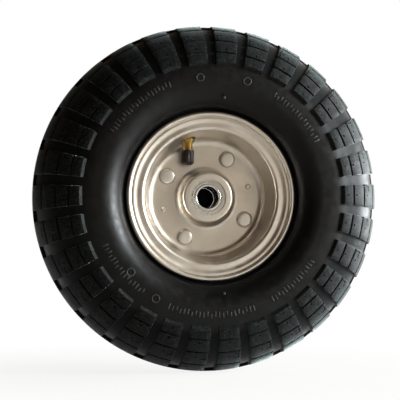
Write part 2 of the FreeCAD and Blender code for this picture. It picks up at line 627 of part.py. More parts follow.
def make_valve_base():
    """Rubber base that joins the stem to the tube: its foot is curved as the tube is, its top is flat."""
    blank = valve_cylinder("base_blank", "valve_base_radius", "valve_base_top")
    below = doc.addObject("Part::Cylinder", "base_below")
    below.Placement = FreeCAD.Placement(FreeCAD.Vector(), FreeCAD.Rotation(FreeCAD.Vector(1, 0, 0), 90))
    bind(below, Radius="tube_floor", Height="tube_floor", Base_y="tube_floor / 2 - valve_forward")
    curved = doc.addObject("Part::Cut", "base_curved")
    curved.Base, curved.Tool = blank, below
    bore = valve_cylinder("base_bore", "stem_radius + valve_fit", "valve_base_top + cut_margin")
    base = doc.addObject("Part::Cut", "valve_base")
    base.Base, base.Tool = curved, bore
    return base


def make_valve():
    """The pieces on the valve's axis; heights are above the wheel's centre."""
    stem_top = "valve_base_top + stem_foot_thickness"
    cone_top = "stem_tip + core_bore_depth + core_cone"
    stem = turned("valve_stem", [
        ("core_bore_radius", "stem_tip"),
        ("stem_radius", "stem_tip", "stem_edge_round"),
        ("stem_radius", "valve_base_top"),
        ("stem_foot_radius", "valve_base_top"),
        ("stem_foot_radius", stem_top, "stem_foot_round"),
        ("stem_bore_radius", stem_top),
        ("stem_bore_radius", cone_top),
        ("core_bore_radius", "stem_tip + core_bore_depth"),
    ], "XZ_Plane")

    nut = new_body("valve_nut")
    flats = new_sketch(nut, "valve_nut_flats")
    hexagon = [(f"nut_flats / 2 / cos(30) * cos({turn})", f"nut_flats / 2 / cos(30) * sin({turn})")
               for turn in range(0, 360, 60)]
    outline(flats, hexagon)
    ring(flats, "stem_radius + valve_fit")
    flats.AttachmentOffset = FreeCAD.Placement(FreeCAD.Vector(0, 0, 1), FreeCAD.Rotation())
    flats.setExpression("AttachmentOffset.Base.z", tie("nut_foot"))
    block = feature(nut, "Pad", "valve_nut_block", flats)
    bind(block, Length="nut_height")

    neck = "core_face + core_plug_length"
    seal_start = "stem_tip + core_bore_depth - core_fit"
    core = turned("valve_core", [
        ("core_air_radius", "core_face"),
        ("core_bore_radius - core_fit", "core_face"),
        ("core_bore_radius - core_fit", neck),
        ("core_barrel_radius", neck),
        ("core_barrel_radius", "core_end"),
        ("core_air_radius", "core_end"),
        ("core_air_radius", "core_end - core_lip"),
        ("chamber_radius", "core_end - core_lip"),
        ("chamber_radius", "core_face + chamber_start - core_fit"),
        ("core_air_radius", "core_face + chamber_start - core_fit"),
    ], "XZ_Plane")
    seal = turned("valve_core_seal", [
        ("core_barrel_radius + core_fit", f"{seal_start} - seal_length"),
        ("core_bore_radius - core_fit", f"{seal_start} - seal_length"),
        ("core_bore_radius - core_fit", seal_start),
        ("stem_bore_radius - core_fit", f"{seal_start} + core_cone"),
        ("core_barrel_radius + core_fit", f"{seal_start} + core_cone"),
    ], "XZ_Plane")
    collar = "core_face + chamber_start"
    pin = turned("valve_pin", [
        ("0", "stem_tip + pin_sink"),
        ("pin_head_radius", "stem_tip + pin_sink"),
        ("pin_head_radius", "core_face + pin_head_foot"),
        ("pin_radius", "core_face + pin_head_foot"),
        ("pin_radius", collar),
        ("pin_collar_radius", collar),
        ("pin_collar_radius", f"{collar} + pin_collar_thickness"),
        ("pin_radius", f"{collar} + pin_collar_thickness"),
        ("pin_radius", "core_end + cup_thickness + pin_tail"),
        ("0", "core_end + cup_thickness + pin_tail"),
    ], "XZ_Plane")
    cup = turned("valve_cup", [
        ("pin_radius + core_fit", "core_end + core_fit"),
        ("cup_radius", "core_end + core_fit"),
        ("cup_radius - cup_taper", "core_end + cup_thickness"),
        ("pin_radius + core_fit", "core_end + cup_thickness"),
    ], "XZ_Plane")

    # The coil's path is straight runs, which keeps the spring's faces few
    runs = int(size_of("coil_turns * coil_runs"))
    stops = [
        f"vector(coil_radius * cos({step} * 360 / coil_runs); coil_radius * sin({step} * 360 / coil_runs);"
        f" {step} / {runs} * (spring_end - spring_start))"
        for step in range(runs + 1)
    ]
    coil = doc.addObject("Part::Polygon", "spring_coil")
    coil.setExpression("Nodes", tie(f"list({'; '.join(stops)})"))
    wire = doc.addObject("Part::RegularPolygon", "spring_wire")
    wire.Polygon = 6
    wire.Placement = FreeCAD.Placement(FreeCAD.Vector(), FreeCAD.Rotation(FreeCAD.Vector(1, 0, 0), 90))
    bind(wire, Circumradius="wire_radius", Base_x="coil_radius")
    spring = doc.addObject("Part::Sweep", "valve_spring")
    spring.Sections = [wire]
    spring.Spine = (coil, [])
    spring.Transition = "Right corner"
    spring.Solid = True
    spring.Frenet = False

    stem_side = [stem, nut, core, seal, pin, cup]
    floor = "cap_end + cap_floor"
    cap = turned("valve_cap", [
        ("0", "cap_end"),
        ("cap_radius", "cap_end", "cap_round"),
        ("cap_radius", "cap_end + cap_length"),
        ("stem_radius + cap_fit", "cap_end + cap_length"),
        ("stem_radius + cap_fit", floor),
        ("0", floor),
    ], "XZ_Plane")
    grip = new_sketch(cap, "cap_flute_section")
    ring(grip, "flute_radius", "cap_radius + flute_radius - flute_depth", "0")
    grip.AttachmentOffset = FreeCAD.Placement(FreeCAD.Vector(0, 0, 1), FreeCAD.Rotation())
    grip.setExpression("AttachmentOffset.Base.z", tie("cap_end + cap_length - flute_length"))
    flute = feature(cap, "Pocket", "cap_flute", grip, Reversed=True)
    bind(flute, Length="flute_length + cut_margin")
    polar(cap, "cap_flutes", [flute], "Z_Axis", "flute_count")
    cap_seal = turned("valve_cap_seal", [
        ("0", f"{floor} + cap_seal_gap"),
        ("stem_radius - cap_fit", f"{floor} + cap_seal_gap"),
        ("stem_radius - cap_fit", f"{floor} + cap_seal_gap + cap_seal_thickness"),
        ("0", f"{floor} + cap_seal_gap + cap_seal_thickness"),
    ], "XZ_Plane")

    pieces = stem_side + [cap, cap_seal, spring]
    for piece in pieces:
        bind(piece, Base_x="-valve_across", Base_y="-valve_forward")
    bind(spring, Base_z="spring_start")
    return pieces


def export(pieces):
    """Check every object and every sub-part, then write one file for each sub-part."""
    doc.recompute()
    for thing in doc.Objects:
        if {"Invalid", "Error"} & set(thing.State):
            raise RuntimeError(f"{thing.Label} didn't build: {thing.State}")
    for piece in pieces:
        if piece.Shape.isNull() or not piece.Shape.isValid() or not piece.Shape.Solids:
            raise RuntimeError(f"{piece.Label} has no valid solid")
    os.makedirs("parts", exist_ok=True)
    for piece in pieces:
        piece.Shape.exportStep(f"parts/{piece.Label}.step")


sub_parts = [make_tyre(), make_tube(), make_rim_half(FRONT), make_rim_half(REAR), make_spacer()]
sub_parts += make_rivets() + make_bearing(FRONT) + make_bearing(REAR)
sub_parts += make_valve() + [make_valve_base()]
export(sub_parts)
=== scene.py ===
"""Looks of a pneumatic wheelbarrow wheel: lugged tyre, pressed zinc rim, shielded bearings, valve.

Sizes are in millimetres in the classes and become metres in the meshes. The spin axis is Y, the
valve side (front) faces -Y, and the origin is the wheel's centre.
"""
from __future__ import annotations

import logging
from dataclasses import dataclass, field
from enum import Enum
from math import acos, asin, atan2, cos, hypot, pi, radians, sin, tan
from typing import Iterable, Sequence

import bmesh
import bpy
from mathutils import Matrix, Vector


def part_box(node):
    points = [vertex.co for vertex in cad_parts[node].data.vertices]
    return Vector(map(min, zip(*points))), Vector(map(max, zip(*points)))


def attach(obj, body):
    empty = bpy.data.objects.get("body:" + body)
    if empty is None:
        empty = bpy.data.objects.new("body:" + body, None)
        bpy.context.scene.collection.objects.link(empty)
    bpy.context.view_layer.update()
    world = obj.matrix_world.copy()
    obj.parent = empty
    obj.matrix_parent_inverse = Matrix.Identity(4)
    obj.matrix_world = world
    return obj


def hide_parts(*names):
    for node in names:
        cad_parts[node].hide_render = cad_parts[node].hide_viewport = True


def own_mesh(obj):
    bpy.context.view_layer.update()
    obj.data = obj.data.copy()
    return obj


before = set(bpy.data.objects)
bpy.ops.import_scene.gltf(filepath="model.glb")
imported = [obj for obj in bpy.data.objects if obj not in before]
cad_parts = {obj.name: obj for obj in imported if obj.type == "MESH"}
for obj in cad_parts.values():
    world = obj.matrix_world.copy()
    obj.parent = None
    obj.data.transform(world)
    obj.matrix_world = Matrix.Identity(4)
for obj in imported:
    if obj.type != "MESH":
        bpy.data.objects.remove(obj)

logging.basicConfig(level=logging.INFO, format="%(message)s")
log = logging.getLogger("wheel")

Mesh = bmesh.types.BMesh
Material = bpy.types.Material
Node = bpy.types.Node
Object = bpy.types.Object
Socket = bpy.types.NodeSocket
Colour = tuple[float, float, float, float]

ORIGIN = Vector((0, 0, 0))
SPIN_AXIS = Vector((0, 1, 0))
FULL_TURN = 2 * pi
MM = 0.001  # metres
MERGE_UNDER = 1e-4  # mm between vertices that become one
SMOOTH_UNDER = 35.0  # degrees between faces that shade as one surface
VALVE_PLACE = (-14.7, -8.8)  # the valve's upright axis, X and Y in mm


class Side(Enum):
    """A side of the wheel, as the sign of Y."""

    FRONT = -1
    REAR = 1

    @property
    def word(self) -> str:
        """The side's name in node names."""
        return self.name.lower()


@dataclass(frozen=True)
class Corner:
    """A corner of a section."""

    out: float  # radius from the axis, mm
    across: float  # place along the axis, mm
    bend: float = 0.0  # radius of the bend there, mm, or 0 for a sharp corner
    steps: int = 5  # segments of the bend

    def on(self, sign: int) -> Corner:
        """The same corner for 1, or its mirror image across the mid-plane for -1."""
        return Corner(self.out, sign * self.across, self.bend, self.steps)


def mirrored(half: Sequence[Corner]) -> list[Corner]:
    """A section's corners mirrored across the mid-plane, in the order that carries it on."""
    return [corner.on(-1) for corner in reversed(half)]


# Materials


class Shader:
    """A procedural material under construction."""

    def __init__(self, name: str) -> None:
        """Start a material with one Principled shader.

        Args:
            name: the material's name.
        """
        self.material = bpy.data.materials.new(name)
        self.material.use_nodes = True
        self.tree = self.material.node_tree
        self.tree.nodes.clear()
        self.surface = self.node("BsdfPrincipled")
        self.end = self.node("OutputMaterial").inputs["Surface"]
        self.link(self.surface.outputs["BSDF"], self.end)
        self.place = self.node("TexCoord").outputs["Object"]

    def link(self, source: Socket, target: Socket) -> None:
        """Join two sockets."""
        self.tree.links.new(source, target)

    def feed(self, socket: Socket, value: object) -> None:
        """Give an input socket its value.

        Args:
            socket: the input.
            value: a number, a colour or the socket that is linked to it.
        """
        if isinstance(value, Socket):
            self.link(value, socket)
        else:
            socket.default_value = value

    def fill(self, node: Node, inputs: dict[str, object]) -> None:
        """Give inputs of a node their values, by name; an underscore stands for a space."""
        for name, value in inputs.items():
            self.feed(node.inputs[name.replace("_", " ")], value)

    def node(self, kind: str, **inputs: object) -> Node:
        """Add a node.

        Args:
            kind: its type, without ShaderNode.
            inputs: values of its inputs.

        Returns:
            The node.
        """
        node = self.tree.nodes.new(f"ShaderNode{kind}")
        self.fill(node, inputs)
        return node

    def set(self, **inputs: object) -> None:
        """Give inputs of the Principled shader their values."""
        self.fill(self.surface, inputs)

    def noise(self, scale: float, detail: float = 3.0, rough: float = 0.5) -> Socket:
        """A noise pattern on the object's own coordinates.

        Args:
            scale: features per metre.
            detail: octaves.
            rough: weight of the fine octaves.

        Returns:
            The noise's value.
        """
        node = self.node("TexNoise", Vector=self.place, Scale=scale, Detail=detail, Roughness=rough)
        return node.outputs["Fac"]

    def math(self, kind: str, first: object, second: object = 0.0, clamp: bool = False) -> Socket:
        """A Math node.

        Args:
            kind: the operation.
            first: first value.
            second: second value.
            clamp: keep the result from 0 to 1.

        Returns:
            The result.
        """
        node = self.node("Math")
        node.operation = kind
        node.use_clamp = clamp
        self.feed(node.inputs[0], first)
        self.feed(node.inputs[1], second)
        return node.outputs[0]

    def times(self, first: object, second: object) -> Socket:
        """The product of two values or sockets."""
        return self.math("MULTIPLY", first, second)

    def plus(self, first: object, second: object, clamp: bool = False) -> Socket:
        """The sum of two values or sockets, kept from 0 to 1 if it is clamped."""
        return self.math("ADD", first, second, clamp)

    def ramp(self, value: Socket, low: float, high: float, start: float = 0.0,
             end: float = 1.0) -> Socket:
        """Map a value's range low..high to start..end, eased at both ends.

        Args:
            value: the value.
            low: value that gives start.
            high: value that gives end.
            start: result at low.
            end: result at high.

        Returns:
            The result.
        """
        node = self.node("MapRange", Value=value, From_Min=low, From_Max=high, To_Min=start,
                         To_Max=end)
        node.interpolation_type = "SMOOTHSTEP"
        return node.outputs["Result"]

    def mix(self, share: Socket, first: Colour, second: Colour) -> Socket:
        """Mix two colours.

        Args:
            share: weight of the second.
            first: first colour.
            second: second colour.

        Returns:
            The colour.
        """
        node = self.node("Mix")
        node.data_type = "RGBA"
        self.feed(node.inputs["Factor"], share)
        for index, colour in ((6, first), (7, second)):
            self.feed(node.inputs[index], colour)
        return node.outputs[2]

    def bump(self, height: Socket, strength: float, distance: float,
             under: Socket | None = None) -> Socket:
        """A bump of the surface.

        Args:
            height: the height.
            strength: share of the effect.
            distance: height of the bump in metres.
            under: a bump underneath this one.

        Returns:
            The normal.
        """
        node = self.node("Bump", Height=height, Strength=strength, Distance=distance)
        if under is not None:
            self.link(under, node.inputs["Normal"])
        return node.outputs["Normal"]

    def part(self, axis: str) -> Socket:
        """The object's own coordinate X, Y or Z, in metres."""
        return self.node("SeparateXYZ", Vector=self.place).outputs[axis]

    def radius(self, plane: str = "XZ") -> Socket:
        """Distance from the origin in a plane, in metres: from the wheel's axis by default.

        Args:
            plane: the letters of the plane's two axes.

        Returns:
            The distance.
        """
        parts = [self.part(axis) for axis in plane]
        return self.math("SQRT", self.plus(*(self.times(part, part) for part in parts)))

    def overlay(self, share: Socket, other: Node) -> None:
        """Show another shader in place of the Principled one.

        Args:
            share: how much of it shows, from 0 to 1.
            other: the other shader's node.
        """
        pick = self.node("MixShader")
        for index, source in enumerate((share, self.surface.outputs[0], other.outputs[0])):
            self.link(source, pick.inputs[index])
        self.link(pick.outputs[0], self.end)


class Scale:
    """Scales of the noise patterns, in features per metre."""

    FLOOR = 30.0
    DUST = 38.0
    STAIN = 55.0
    METAL_GLOSS = 90.0
    SWELL = 130.0
    RUBBER_GLOSS = 210.0
    SPECKS = 620.0
    WEAR = 700.0
    METAL_GRAIN = 1500.0
    PLASTIC_GRAIN = 2400.0
    RUBBER_GRAIN = 2600.0


@dataclass(frozen=True)
class Rubber:
    """Moulded rubber: matte, with fine grain, dust and worn specks."""

    name: str  # material's name, without _finish
    colour: Colour  # clean rubber
    dust: Colour  # colour of the dust on it
    dusty: float  # share of dust
    rough: float  # roughness of clean rubber
    grain: float  # height of the moulded grain, mm
    shine: float = 0.5  # level of its reflections
    bloom: float = 0.0  # share of the soft grey bloom seen at a slant
    speckled: float = 0.0  # share of fine worn specks, which are also felt in the surface
    dull_from: float = 0.0  # radius in metres from which it is dull, or 0

    def build(self) -> Material:
        """Make the material.

        Returns:
            The material.
        """
        fade, dull_dust, dull_shine, dull_sheen = 0.008, 0.35, 0.05, 0.22
        sheen_rough, bloom_tint = 0.30, (0.84, 0.98, 0.98, 1)
        swell = 6 * self.grain * MM
        shader = Shader(f"{self.name}_finish")
        patches = shader.ramp(shader.noise(Scale.DUST, 4.0, 0.6), 0.42, 0.68)
        specks = shader.noise(Scale.SPECKS, 3.0, 0.6)
        worn = shader.times(shader.ramp(specks, 0.48, 0.62), self.speckled)
        film = shader.plus(shader.times(patches, self.dusty), worn, clamp=True)
        shader.set(Specular_IOR_Level=self.shine)
        if self.dull_from:
            dull = shader.ramp(shader.radius(), self.dull_from, self.dull_from + fade)
            film = shader.plus(film, shader.times(dull, dull_dust), clamp=True)
            shader.set(Specular_IOR_Level=shader.ramp(dull, 0.0, 1.0, self.shine, dull_shine),
                       Sheen_Weight=shader.times(dull, dull_sheen), Sheen_Roughness=sheen_rough)
        gloss = shader.ramp(shader.noise(Scale.RUBBER_GLOSS, 4.0, 0.6), 0.3, 0.7,
                            self.rough - 0.07, self.rough + 0.09)
        normal = shader.bump(shader.noise(Scale.RUBBER_GRAIN, 3.0, 0.7), 0.45, self.grain * MM)
        normal = shader.bump(shader.noise(Scale.SWELL, 2.0), 0.35, swell, normal)
        if self.speckled:
            normal = shader.bump(specks, 0.6, swell, normal)
        shader.set(Base_Color=shader.mix(film, self.colour, self.dust), Roughness=gloss,
                   Normal=normal)
        if self.bloom:
            shader.set(Sheen_Weight=self.bloom, Sheen_Roughness=sheen_rough,
                       Sheen_Tint=bloom_tint)
        return shader.material


@dataclass(frozen=True)
class Metal:
    """Plated, turned or drawn metal."""

    name: str  # material's name, without _finish
    colour: Colour  # clean metal
    stain: Colour  # colour of its darker patches
    stained: float  # share of stain
    rough: float  # mean roughness
    grain: float  # height of its fine grain, mm
    rings: float = 0.0  # turning or pressing rings per metre of radius, or 0

    def build(self) -> Material:
        """Make the material.

        Returns:
            The material.
        """
        ring_share = 0.35
        shader = Shader(f"{self.name}_finish")
        patches = shader.ramp(shader.noise(Scale.STAIN, 5.0, 0.65), 0.45, 0.72)
        gloss = shader.ramp(shader.noise(Scale.METAL_GLOSS, 5.0, 0.6), 0.3, 0.7,
                            self.rough - 0.06, self.rough + 0.08)
        height = shader.noise(Scale.METAL_GRAIN, 4.0, 0.6)
        if self.rings:
            turning = shader.math("SINE", shader.times(shader.radius(), self.rings * FULL_TURN))
            height = shader.plus(height, shader.times(turning, ring_share))
        colour = shader.mix(shader.times(patches, self.stained), self.colour, self.stain)
        shader.set(Base_Color=colour, Metallic=1.0, Roughness=gloss,
                   Normal=shader.bump(height, 0.35, self.grain * MM))
        return shader.material


@dataclass(frozen=True)
class Plastic:
    """Moulded plastic with a soft gloss and paler wear."""

    name: str  # material's name, without _finish
    colour: Colour  # the plastic
    rough: float  # mean roughness
    grain: float  # height of its grain, mm

    def build(self) -> Material:
        """Make the material.

        Returns:
            The material.
        """
        paler, shine = 1.7, 0.18
        pale = (*(min(1.0, channel * paler) for channel in self.colour[:3]), 1.0)
        shader = Shader(f"{self.name}_finish")
        worn = shader.ramp(shader.noise(Scale.WEAR, 3.0), 0.35, 0.75)
        grain = shader.bump(shader.noise(Scale.PLASTIC_GRAIN, 2.0), 0.3, self.grain * MM)
        shader.set(Base_Color=shader.mix(worn, self.colour, pale), Specular_IOR_Level=shine,
                   Roughness=shader.ramp(worn, 0.0, 1.0, self.rough - 0.05, self.rough + 0.1),
                   Normal=grain)
        return shader.material


class Finish(Enum):
    """Every finish on the wheel; each is made once."""

    TYRE = Rubber("tyre_rubber", (0.0022, 0.0020, 0.0022, 1), (0.014, 0.018, 0.018, 1),
                  0.12, 0.38, 0.02, 0.19, dull_from=0.096)
    TREAD = Rubber("tread_rubber", (0.003, 0.003, 0.003, 1), (0.018, 0.023, 0.023, 1),
                   0.12, 0.60, 0.03, 0.10, 0.35, 0.60)
    MARK = Rubber("mark_rubber", (0.012, 0.012, 0.012, 1), (0.060, 0.064, 0.062, 1),
                  0.50, 0.42, 0.03, 0.45)
    TUBE = Rubber("tube_rubber", (0.022, 0.022, 0.023, 1), (0.12, 0.12, 0.11, 1), 0.2, 0.6, 0.02)
    CAP_RUBBER = Rubber("cap_rubber", (0.03, 0.03, 0.03, 1), (0.1, 0.1, 0.1, 1), 0.2, 0.6, 0.01)
    ZINC = Metal("zinc_sheet", (0.655, 0.605, 0.54, 1), (0.50, 0.43, 0.35, 1), 0.4, 0.34, 0.012)
    RIVET = Metal("rivet_steel", (0.70, 0.67, 0.62, 1), (0.52, 0.48, 0.43, 1), 0.4, 0.34, 0.015)
    RACE = Metal("race_steel", (0.66, 0.655, 0.64, 1), (0.45, 0.43, 0.40, 1),
                 0.35, 0.20, 0.005, 2500.0)
    SHIELD = Metal("shield_steel", (0.62, 0.61, 0.59, 1), (0.42, 0.39, 0.35, 1),
                   0.4, 0.26, 0.006, 1400.0)
    BRASS = Metal("valve_brass", (0.40, 0.27, 0.09, 1), (0.15, 0.09, 0.04, 1), 0.7, 0.32, 0.008)
    BORE = Metal("bore_steel", (0.15, 0.14, 0.13, 1), (0.07, 0.06, 0.05, 1), 0.5, 0.42, 0.008)
    SEAL = Plastic("seal_ring", (0.62, 0.16, 0.10, 1), 0.5, 0.01)
    CAP = Plastic("cap_plastic", (0.010, 0.006, 0.005, 1), 0.34, 0.008)

    @property
    def material(self) -> Material:
        """The finish's material, made at its first use."""
        return bpy.data.materials.get(f"{self.value.name}_finish") or self.value.build()


# Meshes


def draw(corners: Sequence[Corner], closed: bool = False) -> Mesh:
    """Draw a section in the plane of X (outwards) and Y (across), with its bends.

    Args:
        corners: the section's corners.
        closed: join the last corner to the first.

    Returns:
        A new mesh with the section's edges.
    """
    mesh = bmesh.new()
    verts = [mesh.verts.new((corner.out, corner.across, 0)) for corner in corners]
    count = len(verts)
    for index in range(count if closed else count - 1):
        mesh.edges.new((verts[index], verts[(index + 1) % count]))
    for index, corner in enumerate(corners):
        if not corner.bend:
            continue
        here, before, after = (Vector((spot.out, spot.across)) for spot in (
            corner, corners[index - 1], corners[(index + 1) % count]))
        run = corner.bend / tan((before - here).angle(after - here) / 2)
        bmesh.ops.bevel(mesh, geom=[verts[index]], offset=run, offset_type="OFFSET",
                        affect="VERTICES", segments=corner.steps, profile=0.5, material=-1)
    return mesh


def face_out(mesh: Mesh) -> None:
    """Turn all faces of a mesh to its outside."""
    bmesh.ops.recalc_face_normals(mesh, faces=mesh.faces)


def spin(mesh: Mesh, angle: float, steps: int, rise: float = 0.0, close: bool = False,
         copies: bool = False) -> None:
    """Spin all that is in a mesh about the wheel's axis.

    Args:
        mesh: the mesh.
        angle: the whole angle, radians.
        steps: steps of the spin.
        rise: shift along the axis at each step, mm.
        close: merge the end with the start.
        copies: leave a copy at each step in place of a swept surface.
    """
    bmesh.ops.spin(mesh, geom=[*mesh.verts, *mesh.edges, *mesh.faces], cent=ORIGIN,
                   axis=SPIN_AXIS, dvec=Vector((0, rise, 0)), angle=angle, steps=steps,
                   use_merge=close, use_duplicate=copies)


def lathe(corners: Sequence[Corner], steps: int, closed: bool = False) -> Mesh:
    """Turn a section about the wheel's axis.

    Args:
        corners: the section.
        steps: faces round the axis.
        closed: join the last corner to the first.

    Returns:
        The mesh.
    """
    mesh = draw(corners, closed)
    spin(mesh, FULL_TURN, steps, close=True)
    bmesh.ops.remove_doubles(mesh, verts=mesh.verts, dist=MERGE_UNDER)
    face_out(mesh)
    return mesh


def coil(mesh: Mesh, steps: int, per_turn: int, rise: float) -> None:
    """Sweep the outline in a mesh along the wheel's axis as a coil with closed ends.

    Args:
        mesh: the mesh with the outline.
        steps: steps of the sweep.
        per_turn: steps in a full turn.
        rise: rise at each step, mm.
    """
    spin(mesh, FULL_TURN * steps / per_turn, steps, rise)
    bmesh.ops.holes_fill(mesh, edges=mesh.edges, sides=8)
    face_out(mesh)


def rotate(mesh: Mesh, degrees: float, axis: str = "Y") -> None:
    """Turn all that is in a mesh about an axis."""
    matrix = Matrix.Rotation(radians(degrees), 3, axis)
    bmesh.ops.rotate(mesh, verts=mesh.verts, cent=ORIGIN, matrix=matrix)


def shift(mesh: Mesh, by: Vector) -> None:
    """Move all that is in a mesh."""
    bmesh.ops.translate(mesh, verts=mesh.verts, vec=by)


def cone(mesh: Mesh, radii: Sequence[float], depth: float, place: Matrix,
         segments: int = 32) -> None:
    """Add a closed cone from its low to its high radius, along Z about a matrix's origin."""
    bmesh.ops.create_cone(mesh, cap_ends=True, segments=segments, radius1=radii[0],
                          radius2=radii[1], depth=depth, matrix=place)


def block(mesh: Mesh, size: Sequence[float], place: Matrix) -> None:
    """Add a box of a size to a mesh, about the origin of a matrix."""
    bmesh.ops.create_cube(mesh, size=1.0, matrix=place @ Matrix.Diagonal((*size, 1.0)))


def round_edges(mesh: Mesh, edges: Iterable[bmesh.types.BMEdge], offset: float) -> None:
    """Round edges of a mesh, over an offset to each side."""
    bmesh.ops.bevel(mesh, geom=edges, offset=offset, affect="EDGES", segments=2, profile=0.5,
                    material=-1)


def join(mesh: Mesh, other: Mesh) -> None:
    """Add a mesh to another.

    Args:
        mesh: the mesh that takes it.
        other: the mesh that is added; it is freed.
    """
    data = bpy.data.meshes.new("joined")
    other.to_mesh(data)
    other.free()
    mesh.from_mesh(data)
    bpy.data.meshes.remove(data)


def about_axis(degrees: float, radius: float, across: float) -> Vector:
    """A point at an angle above +X, in millimetres."""
    angle = radians(degrees)
    return Vector((radius * cos(angle), across, radius * sin(angle)))


def to_object(name: str, mesh: Mesh, *materials: Material) -> Object:
    """Make an object in the scene.

    Args:
        name: its name.
        mesh: its mesh, which is freed.
        materials: its materials.

    Returns:
        The object.
    """
    data = bpy.data.meshes.new(name)
    mesh.to_mesh(data)
    mesh.free()
    for material in materials:
        data.materials.append(material)
    item = bpy.data.objects.new(name, data)
    bpy.context.scene.collection.objects.link(item)
    return item


def dress(name: str, mesh: Mesh, finish: Finish, replaced: Sequence[str] = (),
          body: str = "wheel") -> Object:
    """Make a finished object from a mesh in millimetres.

    Args:
        name: the piece's name.
        mesh: its mesh, which is freed.
        finish: its finish.
        replaced: CAD nodes that it stands for.
        body: the CAD body that it rides on.

    Returns:
        The object.
    """
    bmesh.ops.scale(mesh, vec=(MM, MM, MM), verts=mesh.verts)
    piece = to_object(name, mesh, finish.material)
    piece.data.shade_smooth()
    piece.data.set_sharp_from_angle(angle=radians(SMOOTH_UNDER))
    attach(piece, body)
    if replaced:
        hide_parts(*replaced)
    log.info("%s: %d faces", name, len(piece.data.polygons))
    return piece


def carve(mesh: Mesh, tool: Mesh, crossing: bool = False) -> Mesh:
    """Cut one closed mesh out of another.

    Args:
        mesh: what is cut; it is freed.
        tool: what is cut out; it is freed.
        crossing: whether parts of the tool cross each other.

    Returns:
        The cut mesh.
    """
    work, cutter = to_object("work", mesh), to_object("tool", tool)
    modifier = work.modifiers.new("cut", "BOOLEAN")
    modifier.operation = "DIFFERENCE"
    modifier.solver = "EXACT"
    modifier.use_self = crossing
    modifier.object = cutter
    bpy.context.view_layer.update()
    result = bmesh.new()
    result.from_object(work, bpy.context.evaluated_depsgraph_get())
    for item in (work, cutter):
        data = item.data
        bpy.data.objects.remove(item)
        bpy.data.meshes.remove(data)
    return result


# Rim


